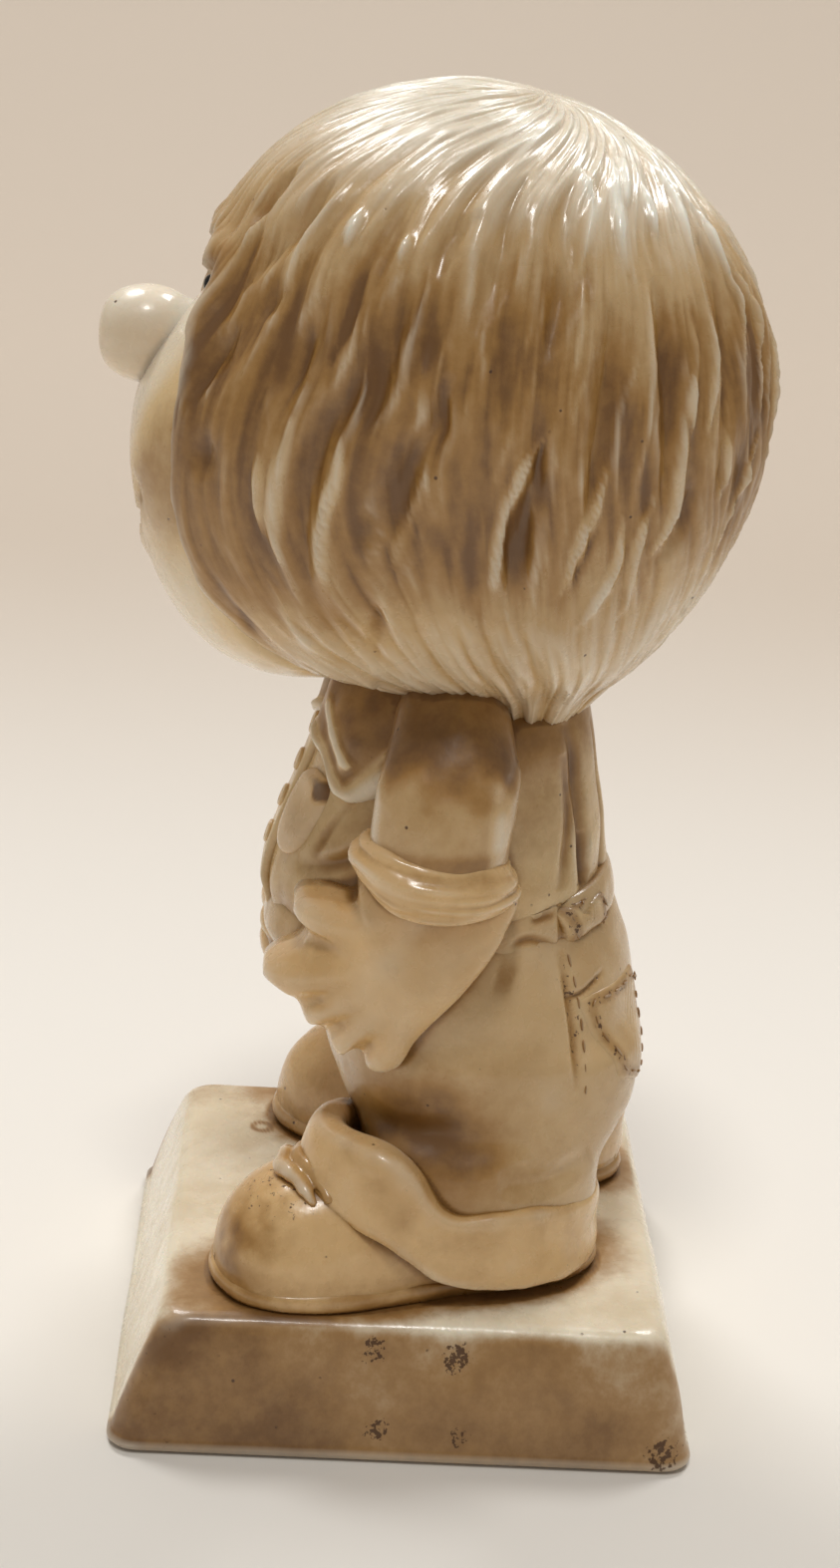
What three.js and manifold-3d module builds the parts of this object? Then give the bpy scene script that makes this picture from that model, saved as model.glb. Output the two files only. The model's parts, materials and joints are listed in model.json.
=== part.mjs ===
// A cast-resin figurine of a small boy bowler on a square plinth, as a set of separately cast pieces.
// Millimetres, +Z up. The origin is the centre of the plinth's underside. The figure faces -Y and
// its left is +X.
import * as THREE from "three";
import { mergeVertices } from "three/addons/utils/BufferGeometryUtils.js";
import Module from "manifold-3d";

const wasm = await Module();
wasm.setup();

// Driving dimensions
const SEAM = 0.3; // joint between two castings

const PLINTH_HEIGHT = 14.8;
const PLINTH_BASE_WIDTH = 63.4;
const PLINTH_BASE_DEPTH = 62.4;
const PLINTH_TOP_WIDTH = 56;
const PLINTH_TOP_DEPTH = 54;
const PLINTH_TOP_SETBACK = 0.8; // the top lies this far behind the middle of the base
const PLINTH_CORNER_RADIUS = 3;
const PLINTH_EDGE_RADIUS = 1.5;

const STANCE = 13.5; // middle of each ankle from the middle of the plinth
const ANKLE_SETBACK = 6;
const RIGHT_FOOT_SETBACK = 5; // the right foot stands further back than the left
const LEFT_SPLAY = 13.5; // degrees
const RIGHT_SPLAY = 22; // degrees
const SHOE_TOE_REACH = 27.5; // ankle to toe
const SHOE_HEEL_REACH = 15;
const SHOE_TOE_HALF_WIDTH = 9.4;
const SHOE_HEEL_HALF_WIDTH = 7.4;
const SHOE_HEIGHT = 11.8;
const SOLE_THICKNESS = 2.1;
const SOLE_WELT = 0.6;
const SHOE_SECTION = 2.3; // squareness of the shoe across its width
const LACE_RADIUS = 1.3;
const LACE_OVERLAP = 0.4; // how far the tongue's rolls lie in each other

const TURN_UP_HALF_WIDTH = 11.3;
const TURN_UP_FRONT_REACH = 20.3; // ankle to the front of the band
const TURN_UP_BACK_REACH = 15.2;
const TURN_UP_THICKNESS = 4;
const TURN_UP_HEIGHT = 8.2;
const TURN_UP_LIFT = 1.8; // lowest edge above the plinth
const TURN_UP_FRONT_RISE = 7.6;
const TURN_UP_EDGE = 1.2;
const TURN_UP_SIDE_DIP = 1.2; // the band's top edge is this much lower at the side
const TURN_UP_TAPER = 0.16; // how far the front leans back towards the leg

const LEG_HEIGHT = 38.6; // plinth to the middle of the waistband
const LEG_HALF_WIDTH = 9.8;
const HIP_HALF_WIDTH = 20;
const HIP_HALF_DEPTH = 17;
const SEAT_SETBACK = 7;
const WAIST_HALF_WIDTH = 17.2;
const WAIST_HALF_DEPTH = 18.3;
const WAIST_SETBACK = 1.6;
const WAISTBAND_HEIGHT = 4.6;
const WAISTBAND_PROUD = 0.7;
const WAIST_TILT = 8; // degrees, the band is lower at the belly

const SHIRT_HEIGHT = 24; // waistband to neckline
const BELLY_OVERHANG = 0.6; // shirt in front of the band
const SHOULDER_HALF_WIDTH = 14.5;
const CHEST_HALF_DEPTH = 14.8;
const PLACKET_WIDTH = 4.4;
const TRIM_THICKNESS = 0.6; // placket, pockets and patch
const CHEST_POCKET_WIDTH = 6.9;
const CHEST_POCKET_HEIGHT = 8.6;
const COLLAR_THICKNESS = 1.4;
const BUTTON_RADIUS = 1.3;
const BUTTON_COUNT = 4;

const ARM_SPREAD = 19.6; // middle of each cuff from the middle of the body
const SLEEVE_HALF_WIDTH = 6.2;
const SLEEVE_HALF_DEPTH = 7.3;
const CUFF_RADIUS = 8.6;
const CUFF_HEIGHT = 6.2;
const CUFF_TILT = 6; // degrees, lower at the back
const CUFF_DROP = 14.8; // neckline to the middle of the cuff
const HAND_LENGTH = 22.2; // cuff to the longest fingertip
const HAND_THICKNESS = 4.6;
const FOREARM_RADIUS = 4.6;
const FINGER_RADIUS = 1.7;
const BALL_RADIUS = 9.5;
const BALL_HOLE_RADIUS = 1.2;

const HEAD_RISE = 31; // neckline to the middle of the head
const HEAD_SETBACK = 3;
const HEAD_HALF_WIDTH = 27;
const HAIR_HALF_WIDTH = 29.6;
const FACE_SECTION = 2.1; // squareness of the head across its width
const HAIR_SECTION = 2.25;
const LOCK_COUNT = 20; // ridges round the head, with a flute between each two
const LOCK_DEPTH = 1.4;
const HOLLOW_DEPTH = 1.3; // of the long hollows pressed in between the locks
const HOLLOW_HALF_WIDTH = 3;
const WHORL_TILT = 7; // degrees, the whorl lies behind the top
const NAPE_TILT = 12; // degrees, the locks gather behind the middle of the neck
const NOSE_RADIUS = 4.4;
const NOSE_LENGTH = 10.6;
const NOSE_REACH = 40; // middle of the head to the tip of the nose
const EYE_RADIUS = 1.15;
const EYE_SPREAD = 6;

// Outline radii of the head from the side, every 22.5 degrees from the back over the top to the front
const HAIR_OUTLINE = [
  28.9, 29.2, 29.2, 30, 31, 31.9, 32.9, 32.4, 36.1, 38.2, 36.2, 32.4, 31.4, 32.6, 30.6, 29.3,
];
const FACE_OUTLINE = [
  25.5, 25.5, 26, 26.5, 27, 27.5, 28.2, 29.4, 35.5, 38.2, 39.2, 32.6, 28, 27, 26, 25.5,
];

// The long hollows of the left side, which the right side mirrors. Each is a line of turn and fall in
// degrees: the turn goes from the ear to the nape, the fall goes down from the whorl.
const LOCK_HOLLOWS = [
  [[-57, 49], [-60, 61]],
  [[-44, 50], [-46, 59], [-53, 69]],
  [[-50, 75], [-51, 80], [-52, 87]],
  [[-33, 68], [-35, 78], [-34, 87]],
  [[-27, 89], [-28, 99], [-30, 107]],
  [[-18, 62], [-20, 74], [-21, 86]],
  [[-12, 92], [-18, 107]],
  [[-6, 41], [-4, 54], [-6, 70]],
  [[7, 40], [10, 56], [7, 72]],
  [[8, 87], [4, 103], [0, 118]],
  [[19, 80], [18, 96]],
  [[31, 58], [33, 80], [32, 100]],
  [[50, 48], [51, 70], [46, 100]],
  [[68, 58], [66, 86]],
];

// Places worked out from the driving dimensions
const SOLE_TOP = PLINTH_HEIGHT + SOLE_THICKNESS;
const WAIST_Z = PLINTH_HEIGHT + LEG_HEIGHT;
const NECKLINE_Z = WAIST_Z + SHIRT_HEIGHT;
const CUFF_Z = NECKLINE_Z - CUFF_DROP;
const HEAD_CENTRE = new THREE.Vector3(0, HEAD_SETBACK, NECKLINE_Z + HEAD_RISE);
const HEAD_RADIUS = HEAD_RISE; // to the crown
const BEYOND = LEG_HEIGHT + SHIRT_HEIGHT; // a cut of this depth passes through the body

// Resin tones
const tone = (name, color, roughness = 0.34) =>
  Object.assign(new THREE.MeshStandardMaterial({ color, roughness, metalness: 0 }), { name });
const CREAM = tone("cream_resin", 0xd8caa6);
const IVORY = tone("ivory_resin", 0xcdbb94);
const BONE = tone("bone_resin", 0xc9b68f);
const TAN = tone("tan_resin", 0xb19c74);
const BROWN = tone("brown_stained_resin", 0x9c8460);
const BLACK = tone("black_bead", 0x15110e, 0.12);

const radians = THREE.MathUtils.degToRad;
const mix = THREE.MathUtils.lerp;
const ease = THREE.MathUtils.smoothstep;

// Closed skins

// The volume on the inner side of the faces, which is negative when they point inwards.
function signedVolume(points, faces) {
  const cross = new THREE.Vector3();
  let sum = 0;
  for (const [a, b, c] of faces) {
    sum += points[a].dot(cross.crossVectors(points[b], points[c])) / 6;
  }
  return sum;
}

function solidFrom(points, faces) {
  const outwards = signedVolume(points, faces) > 0;
  const turned = outwards ? faces : faces.map(([a, b, c]) => [a, c, b]);
  const vertProperties = new Float32Array(points.flatMap((p) => [p.x, p.y, p.z]));
  const triVerts = new Uint32Array(turned.flat());
  return new wasm.Manifold(new wasm.Mesh({ numProp: 3, vertProperties, triVerts }));
}

function solidFromGeometry(geometry) {
  geometry.deleteAttribute("normal");
  geometry.deleteAttribute("uv");
  const merged = mergeVertices(geometry, 1e-4);
  const place = merged.attributes.position;
  const points = [];
  for (let i = 0; i < place.count; i += 1) {
    points.push(new THREE.Vector3().fromBufferAttribute(place, i));
  }
  const faces = [];
  for (let i = 0; i < merged.index.count; i += 3) {
    const face = [0, 1, 2].map((k) => merged.index.getX(i + k));
    if (new Set(face).size === 3) faces.push(face);
  }
  return solidFrom(points, faces);
}

// A skin over a stack of rings of equal count. A ring of one point is a tip, and an open end is capped.
function skin(rings) {
  const points = rings.flat();
  const starts = [];
  let next = 0;
  for (const ring of rings) {
    starts.push(next);
    next += ring.length;
  }
  const faces = [];
  for (let i = 0; i + 1 < rings.length; i += 1) {
    const count = Math.max(rings[i].length, rings[i + 1].length);
    for (let j = 0; j < count; j += 1) {
      const k = (j + 1) % count;
      const low = rings[i].length > 1 ? [starts[i] + j, starts[i] + k] : [starts[i], starts[i]];
      const high =
        rings[i + 1].length > 1 ? [starts[i + 1] + j, starts[i + 1] + k] : [starts[i + 1], starts[i + 1]];
      if (low[0] !== low[1]) faces.push([low[0], low[1], high[1]]);
      if (high[0] !== high[1]) faces.push([low[0], high[1], high[0]]);
    }
  }
  for (const end of [0, rings.length - 1]) {
    if (rings[end].length < 2) continue;
    const middle = new THREE.Vector3();
    rings[end].forEach((p) => middle.add(p));
    points.push(middle.divideScalar(rings[end].length));
    for (let j = 0; j < rings[end].length; j += 1) {
      const edge = [starts[end] + j, starts[end] + ((j + 1) % rings[end].length)];
      if (end === 0) edge.reverse();
      faces.push([edge[0], edge[1], points.length - 1]);
    }
  }
  return solidFrom(points, faces);
}

// A skin over rings that close on each other, as a band does.
function bandSkin(rings) {
  const sides = rings[0].length;
  const faces = [];
  for (let i = 0; i < rings.length; i += 1) {
    const here = i * sides;
    const there = ((i + 1) % rings.length) * sides;
    for (let j = 0; j < sides; j += 1) {
      const k = (j + 1) % sides;
      faces.push([here + j, there + j, there + k]);
      faces.push([here + j, there + k, here + k]);
    }
  }
  return solidFrom(rings.flat(), faces);
}

// A point of an oval with squarish sides where power is over 2.
function ovalPoint(angle, halfX, halfY, power = 2) {
  const c = Math.cos(angle);
  const s = Math.sin(angle);
  const stretch = (Math.abs(c) ** power + Math.abs(s) ** power) ** (-1 / power);
  return [halfX * c * stretch, halfY * s * stretch];
}

// A level ring of a body. lean is the slope of the ring's plane from front to back.
function levelRing({ x = 0, y, z, halfX, halfY, power = 2.2, lean = 0, turn = 0 }, sides, grow) {
  const ring = [];
  for (let i = 0; i < sides; i += 1) {
    const [across, along] = ovalPoint((2 * Math.PI * i) / sides, halfX + grow, halfY + grow, power);
    const dx = across * Math.cos(turn) - along * Math.sin(turn);
    const dy = across * Math.sin(turn) + along * Math.cos(turn);
    ring.push(new THREE.Vector3(x + dx, y + dy, z + dy * lean));
  }
  return ring;
}

// A body of level rings with round ends.
function body(stations, sides, grow = 0, endRound = 0.62) {
  const rings = stations.map((s) => levelRing(s, sides, grow));
  const shrunk = (s, rise) => ({
    ...s,
    z: s.z + rise,
    halfX: s.halfX * endRound,
    halfY: s.halfY * endRound,
  });
  const first = stations[0];
  const last = stations[stations.length - 1];
  const span = Math.sign(last.z - first.z) * (0.8 + grow);
  rings.unshift(levelRing(shrunk(first, -span), sides, grow));
  rings.push(levelRing(shrunk(last, span), sides, grow));
  return skin(rings);
}

// A round-ended limb along a smooth line. Each station is [x, y, z, half width, half thickness], and
// the width lies along the across direction.
function limb(stations, { sides = 10, steps = 8, across = [1, 0, 0], bluntness = 5, grow = 0 }) {
  const curve = new THREE.CatmullRomCurve3(stations.map((s) => new THREE.Vector3(s[0], s[1], s[2])));
  const size = new THREE.CatmullRomCurve3(stations.map((s) => new THREE.Vector3(s[3], s[4], 0)));
  const side = new THREE.Vector3(...across);
  const tip = (t) => curve.getPoint(t).addScaledVector(curve.getTangent(t), t > 0.5 ? grow : -grow);
  const rings = [[tip(0)]];
  for (let i = 1; i < steps; i += 1) {
    const t = 0.5 - 0.5 * Math.cos((Math.PI * i) / steps);
    const full = (1 - Math.abs(2 * t - 1) ** bluntness) ** (1 / 2);
    const tangent = curve.getTangent(t);
    const wide = side.clone().addScaledVector(tangent, -side.dot(tangent)).normalize();
    const thick = new THREE.Vector3().crossVectors(tangent, wide);
    const radii = size.getPoint(t);
    const ring = [];
    for (let j = 0; j < sides; j += 1) {
      const [a, b] = ovalPoint((2 * Math.PI * j) / sides, radii.x * full + grow, radii.y * full + grow);
      ring.push(curve.getPoint(t).addScaledVector(wide, a).addScaledVector(thick, b));
    }
    rings.push(ring);
  }
  rings.push([tip(1)]);
  return skin(rings);
}

// A flat outline in two of the axes, pushed through the third from one depth to another.
function prism(outline, axis, from, to) {
  const place = (u, v, depth) => {
    if (axis === "x") return new THREE.Vector3(depth, u, v);
    if (axis === "y") return new THREE.Vector3(u, depth, v);
    return new THREE.Vector3(u, v, depth);
  };
  return skin([outline.map(([u, v]) => place(u, v, from)), outline.map(([u, v]) => place(u, v, to))]);
}

// A smooth closed outline through its corners, with a point midway between each two.
const smoothOutline = (corners) =>
  new THREE.CatmullRomCurve3(corners.map(([u, v]) => new THREE.Vector3(u, v, 0)), true)
    .getPoints(2 * corners.length)
    .slice(0, -1)
    .map((p) => [p.x, p.y]);

const cutBy = (solid, ...cutters) => cutters.reduce((rest, cutter) => rest.subtract(cutter), solid);

// The piece that is left when slivers cut off at a joint are dropped.
function largest(solid) {
  const bodies = solid.decompose();
  return bodies.reduce((most, next) => (next.volume() > most.volume() ? next : most));
}

// Plinth: a tapered square block with round corners and edges
function plinthForm() {
  const ring = (share, inset, z) => {
    const halfX = mix(PLINTH_BASE_WIDTH, PLINTH_TOP_WIDTH, share) / 2 - inset;
    const halfY = mix(PLINTH_BASE_DEPTH, PLINTH_TOP_DEPTH, share) / 2 - inset;
    const shift = share * PLINTH_TOP_SETBACK;
    const radius = PLINTH_CORNER_RADIUS;
    const points = [];
    for (let corner = 0; corner < 4; corner += 1) {
      const signX = corner === 0 || corner === 3 ? 1 : -1;
      const signY = corner < 2 ? 1 : -1;
      for (let step = 0; step <= 4; step += 1) {
        const angle = (Math.PI / 2) * (corner + step / 4);
        const x = signX * (halfX - radius) + radius * Math.cos(angle);
        const y = signY * (halfY - radius) + radius * Math.sin(angle) + shift;
        points.push(new THREE.Vector3(x, y, z));
      }
    }
    return points;
  };
  const edge = PLINTH_EDGE_RADIUS;
  const share = (z) => z / PLINTH_HEIGHT;
  return skin([
    ring(0, edge * 0.3, 0),
    ring(0, 0, edge * 0.3),
    ring(share(edge * 2), -0.3, edge * 2),
    ring(share(PLINTH_HEIGHT - edge), 0, PLINTH_HEIGHT - edge),
    ring(1, edge * 0.3, PLINTH_HEIGHT - edge * 0.3),
    ring(1, edge, PLINTH_HEIGHT),
  ]);
}

// Feet are worked out in a frame of their own, u forwards from the ankle and v outwards.
function footFrame(side) {
  const splay = radians(side > 0 ? LEFT_SPLAY : RIGHT_SPLAY);
  const x = side * STANCE;
  const y = ANKLE_SETBACK + (side < 0 ? RIGHT_FOOT_SETBACK : 0);
  return (u, v, z) =>
    new THREE.Vector3(
      x + side * (u * Math.sin(splay) + v * Math.cos(splay)),
      y - u * Math.cos(splay) + v * Math.sin(splay),
      z,
    );
}

// Half width of the shoe's outline at each share of its length from heel to toe.
const shoeHalfWidth = (share) =>
  mix(SHOE_HEEL_HALF_WIDTH, SHOE_TOE_HALF_WIDTH, ease(share, 0.25, 0.75)) *
  (1 - Math.abs(2 * share - 1) ** 5) ** (1 / 2);

const shoeRise = (share) =>
  SHOE_HEIGHT * mix(0.85, 1, ease(share, 0.1, 0.5)) * (1 - Math.abs(2 * share - 1) ** 4) ** (1 / 2);

function soleForm(side, grow = 0) {
  const at = footFrame(side);
  const outline = (reach, z) => {
    const ring = [];
    const count = 22;
    for (let i = 0; i < count; i += 1) {
      const angle = (2 * Math.PI * i) / count;
      const share = 0.5 - 0.5 * Math.cos(angle);
      const u = mix(-SHOE_HEEL_REACH - reach, SHOE_TOE_REACH + reach, share);
      const edge = Math.sign(Math.sin(angle)) * (shoeHalfWidth(share) + reach);
      const v = i === 0 || i * 2 === count ? 0 : edge;
      ring.push(at(u, v, z));
    }
    return ring;
  };
  const welt = SOLE_WELT + grow;
  const bottom = PLINTH_HEIGHT - grow;
  const top = SOLE_TOP + grow;
  return skin([
    outline(welt - 0.5, bottom),
    outline(welt, mix(bottom, top, 0.4)),
    outline(welt - 0.4, top),
  ]);
}

function shoeForm(side, grow = 0) {
  const at = footFrame(side);
  const lengths = 12;
  const sides = 13;
  const rings = [[at(-SHOE_HEEL_REACH - grow, 0, SOLE_TOP + 1)]];
  for (let i = 1; i < lengths; i += 1) {
    const share = 0.5 - 0.5 * Math.cos((Math.PI * i) / lengths);
    const u = mix(-SHOE_HEEL_REACH - grow, SHOE_TOE_REACH + grow, share);
    const ring = [];
    for (let j = 0; j < sides; j += 1) {
      const [v, rise] = ovalPoint(
        (2 * Math.PI * (j + 0.5)) / sides,
        shoeHalfWidth(share) + grow,
        shoeRise(share) + grow,
        SHOE_SECTION,
      );
      ring.push(at(u, v, SOLE_TOP + (rise > 0 ? rise : -grow)));
    }
    rings.push(ring);
  }
  rings.push([at(SHOE_TOE_REACH + grow, 0, SOLE_TOP + 1)]);
  return skin(rings);
}

// Tongue: two ridged rolls that lie over the instep and run under the turn-up.
function tongueForm(side, grow = 0) {
  const at = footFrame(side);
  const rolls = [];
  for (let row = 0; row < 2; row += 1) {
    const middle = TURN_UP_FRONT_REACH + 0.9 - row * (2 * LACE_RADIUS - LACE_OVERLAP);
    const stations = [-0.62, 0, 0.62].map((across) => {
      const u = middle - Math.abs(across) * 2.6;
      const share = (u + SHOE_HEEL_REACH) / (SHOE_TOE_REACH + SHOE_HEEL_REACH);
      const crown = (1 - Math.abs(across) ** SHOE_SECTION) ** (1 / SHOE_SECTION);
      const p = at(u, across * shoeHalfWidth(share), SOLE_TOP + shoeRise(share) * crown + 0.2);
      return [p.x, p.y, p.z, LACE_RADIUS, LACE_RADIUS];
    });
    rolls.push(limb(stations, { sides: 6, steps: 5, across: [0, 0, 1], grow }));
  }
  return rolls[0].add(rolls[1]);
}

// Turn-up: a thick rolled band, high over the instep, low at the side and level round the heel.
function turnUpForm(side, grow = 0) {
  const at = footFrame(side);
  const rings = [];
  const around = 20;
  for (let i = 0; i < around; i += 1) {
    const angle = (2 * Math.PI * i) / around; // 0 is the front
    const forwards = Math.cos(angle);
    const front = ease(forwards, -0.15, 0.95);
    const low = PLINTH_HEIGHT + TURN_UP_LIFT + TURN_UP_FRONT_RISE * front - grow;
    const dip = TURN_UP_SIDE_DIP * ease(Math.abs(Math.sin(angle)), 0.8, 1);
    const high = low + TURN_UP_HEIGHT + 2 * grow - dip;
    const place = (inset, z) => {
      const flare = 1 - TURN_UP_TAPER * front * ((z - low) / TURN_UP_HEIGHT);
      const reach = forwards > 0 ? TURN_UP_FRONT_REACH : TURN_UP_BACK_REACH;
      const v = (TURN_UP_HALF_WIDTH + grow - inset) * Math.sin(angle);
      const u = (reach + grow - inset) * forwards * flare;
      return at(u, v, z);
    };
    const edge = TURN_UP_EDGE;
    const thick = TURN_UP_THICKNESS + 2 * grow;
    rings.push([
      place(edge, high),
      place(edge * 0.25, high - edge * 0.5),
      place(0, mix(low, high, 0.5)),
      place(edge * 0.25, low + edge * 0.6),
      place(edge, low),
      place(thick, low),
      place(thick, high),
    ]);
  }
  return bandSkin(rings);
}

// Trousers: a deep round seat on two short wide legs
function trousersForm(grow = 0) {
  const hips = (drop, y, halfX, halfY) => ({ y, z: WAIST_Z - drop, halfX, halfY });
  const halfway = mix(SEAT_SETBACK, WAIST_SETBACK, 0.5);
  const seat = body(
    [
      hips(25, SEAT_SETBACK + 2, HIP_HALF_WIDTH - 8, HIP_HALF_DEPTH - 7),
      hips(22, SEAT_SETBACK + 1.6, HIP_HALF_WIDTH - 2.4, HIP_HALF_DEPTH - 2.4),
      hips(17, SEAT_SETBACK + 0.6, HIP_HALF_WIDTH, HIP_HALF_DEPTH - 0.4),
      hips(11.5, SEAT_SETBACK - 0.6, HIP_HALF_WIDTH, HIP_HALF_DEPTH),
      hips(6, halfway, HIP_HALF_WIDTH - 0.8, WAIST_HALF_DEPTH),
      hips(0, WAIST_SETBACK + 0.6, WAIST_HALF_WIDTH, WAIST_HALF_DEPTH),
    ],
    22,
    grow,
  );
  const leg = (side) => {
    const at = footFrame(side);
    const splay = radians(side > 0 ? LEFT_SPLAY : -RIGHT_SPLAY);
    const station = (u, v, rise, halfX, halfY) => {
      const p = at(u, v, PLINTH_HEIGHT + rise);
      return { x: p.x, y: p.y, z: p.z, halfX, halfY, turn: splay };
    };
    const hip = (z, halfY) => ({
      x: side * (HIP_HALF_WIDTH - LEG_HALF_WIDTH),
      y: SEAT_SETBACK + 1,
      z,
      halfX: LEG_HALF_WIDTH,
      halfY,
      turn: splay / 2,
    });
    return body(
      [
        station(-1.5, -0.6, 7.5, LEG_HALF_WIDTH, 12.2),
        station(-1.8, -1.2, 14.5, LEG_HALF_WIDTH + 0.2, 12.6),
        hip(WAIST_Z - 19, 13.9),
        hip(WAIST_Z - 13, 14.4),
      ],
      16,
      grow,
    );
  };
  return seat.add(leg(1)).add(leg(-1));
}

const waistSlope = Math.tan(radians(WAIST_TILT));

function waistbandForm(grow = 0) {
  const proud = WAISTBAND_PROUD;
  const station = (rise, extra) => ({
    y: WAIST_SETBACK,
    z: WAIST_Z + rise,
    halfX: WAIST_HALF_WIDTH + extra,
    halfY: WAIST_HALF_DEPTH + extra,
    lean: waistSlope,
  });
  const half = WAISTBAND_HEIGHT / 2;
  return body(
    [
      station(-half, proud + 0.5),
      station(-half * 0.5, proud + 0.9),
      station(half * 0.6, proud),
      station(half, proud - 0.6),
    ],
    20,
    grow,
    0.93,
  );
}

// Shirt: a round body that overhangs the band at the belly
function shirtStations() {
  const bellyFront = WAIST_SETBACK - WAIST_HALF_DEPTH - BELLY_OVERHANG;
  const chestFront = WAIST_SETBACK - CHEST_HALF_DEPTH + 0.6;
  const waistBack = WAIST_SETBACK + WAIST_HALF_DEPTH - 0.6;
  const chestBack = WAIST_SETBACK + CHEST_HALF_DEPTH + 1.3;
  const width = (share) => mix(WAIST_HALF_WIDTH, SHOULDER_HALF_WIDTH, share);
  const station = (share, front, back, halfX) => ({
    y: (back + front) / 2,
    z: mix(WAIST_Z + 1, NECKLINE_Z, share),
    halfX,
    halfY: (back - front) / 2,
    lean: waistSlope * (1 - share),
    power: 2.15,
  });
  return [
    station(0, bellyFront + 0.6, waistBack, WAIST_HALF_WIDTH - 0.2),
    station(0.12, bellyFront, waistBack, WAIST_HALF_WIDTH),
    station(0.34, mix(bellyFront, chestFront, 0.3), waistBack - 0.4, width(0.3)),
    station(0.6, mix(bellyFront, chestFront, 0.8), chestBack, width(0.7)),
    station(0.84, chestFront + 1, chestBack - 0.9, SHOULDER_HALF_WIDTH),
    station(1, chestFront + 2.4, chestBack - 2, SHOULDER_HALF_WIDTH - 2.4),
    station(1.14, chestFront + 4, chestBack - 3, SHOULDER_HALF_WIDTH - 4),
  ];
}

const shirtForm = (grow = 0) => body(shirtStations(), 20, grow);

// How far forward the shirt's middle line lies at a height.
function shirtFrontY(z) {
  const line = shirtStations().map((s) => [s.z - s.halfY * s.lean, s.y - s.halfY]);
  const above = Math.max(1, line.findIndex(([height]) => height > z));
  const [low, high] = [line[above - 1], line[above]];
  return mix(low[1], high[1], (z - low[0]) / (high[0] - low[0]));
}

// A thin patch that follows the form under it: the outline's part of a skin over that form.
function overlay(form, outline, axis, from, to, thickness, grow = 0) {
  const middle = [0, 1].map((k) => outline.reduce((sum, p) => sum + p[k], 0) / outline.length);
  const wider = outline.map(([u, v]) => {
    const reach = 1 + (1.5 * grow) / Math.hypot(u - middle[0], v - middle[1]);
    return [mix(middle[0], u, reach), mix(middle[1], v, reach)];
  });
  return form(SEAM + thickness + grow)
    .intersect(prism(wider, axis, from - grow, to + grow))
    .subtract(form(Math.max(0, SEAM - grow)));
}

function placketOutline() {
  const half = PLACKET_WIDTH / 2;
  const top = NECKLINE_Z - 3.5;
  const bottom = WAIST_Z - 3;
  return [
    [-half, bottom],
    [half, bottom],
    [half, top],
    [-half, top],
  ];
}

function buttonForm(index) {
  const share = (index + 0.5) / BUTTON_COUNT;
  const z = mix(WAIST_Z + 3.4, NECKLINE_Z - 3.6, share);
  const profile = [
    [0, -2.5],
    [BUTTON_RADIUS, -2.5],
    [BUTTON_RADIUS, 0.35],
    [BUTTON_RADIUS * 0.7, 0.75],
    [0, 0.85],
  ].map(([r, y]) => new THREE.Vector2(r, y));
  const disc = new THREE.LatheGeometry(profile, 12);
  const slope = (shirtFrontY(z + 1) - shirtFrontY(z - 1)) / 2;
  disc.rotateX(Math.PI - Math.atan(slope));
  disc.translate(0, shirtFrontY(z) - SEAM - TRIM_THICKNESS, z);
  return solidFromGeometry(disc);
}

function collarForm(side, grow = 0) {
  const leaf = [
    [0.18, 0.04],
    [0.22, -0.18],
    [0.51, -0.27],
    [0.83, -0.4],
    [0.99, -0.125],
    [0.79, 0.04],
  ].map(([across, rise]) => [across * SHOULDER_HALF_WIDTH, NECKLINE_Z + rise * SHIRT_HEIGHT]);
  const outline = side > 0 ? leaf : leaf.map(([x, z]) => [-x, z]).reverse();
  return overlay(shirtForm, outline, "y", -BEYOND, HEAD_SETBACK, COLLAR_THICKNESS, grow);
}

function chestPocketForm() {
  const x = 0.51 * SHOULDER_HALF_WIDTH;
  const z = NECKLINE_Z - 0.56 * SHIRT_HEIGHT;
  const corners = [
    [-0.49, 0.42],
    [-0.52, -0.3],
    [0, -0.56],
    [0.46, -0.28],
    [0.49, 0.44],
    [0, 0.51],
  ].map(([across, rise]) => [x + across * CHEST_POCKET_WIDTH, z + rise * CHEST_POCKET_HEIGHT]);
  return overlay(shirtForm, smoothOutline(corners), "y", -BEYOND, 0, TRIM_THICKNESS);
}

function backPocketForm(side) {
  const pocket = [
    [0.25, 0.145],
    [0.875, 0.145],
    [0.875, 0.378],
    [0.56, 0.44],
    [0.25, 0.378],
  ].map(([across, drop]) => [across * HIP_HALF_WIDTH, WAIST_Z - drop * LEG_HEIGHT]);
  const outline = side > 0 ? pocket : pocket.map(([x, z]) => [-x, z]).reverse();
  return overlay(trousersForm, outline, "y", SEAT_SETBACK, BEYOND, TRIM_THICKNESS);
}

function patchForm() {
  const z = WAIST_Z + waistSlope * WAIST_HALF_DEPTH * 0.7;
  const square = [
    [0.52, -0.43],
    [0.78, -0.5],
    [0.78, 0.41],
    [0.52, 0.48],
  ].map(([across, rise]) => [across * WAIST_HALF_WIDTH, z + rise * WAISTBAND_HEIGHT]);
  return overlay(waistbandForm, square, "y", WAIST_SETBACK, BEYOND, TRIM_THICKNESS);
}

// Arms
function cuffForm(side, grow = 0) {
  const rings = [];
  const levels = 5;
  const tilt = Math.tan(radians(-CUFF_TILT));
  for (let i = 0; i <= levels; i += 1) {
    const angle = mix(-70, 70, i / levels);
    const half = CUFF_HEIGHT / 2 + grow;
    const inset = half * (1 - Math.cos(radians(angle)));
    rings.push(
      levelRing(
        {
          x: side * ARM_SPREAD,
          y: 0,
          z: CUFF_Z + half * Math.sin(radians(angle)),
          halfX: CUFF_RADIUS - 1.2 - inset,
          halfY: CUFF_RADIUS - inset,
          lean: tilt,
          power: 2,
        },
        18,
        grow,
      ),
    );
  }
  return skin(rings);
}

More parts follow.
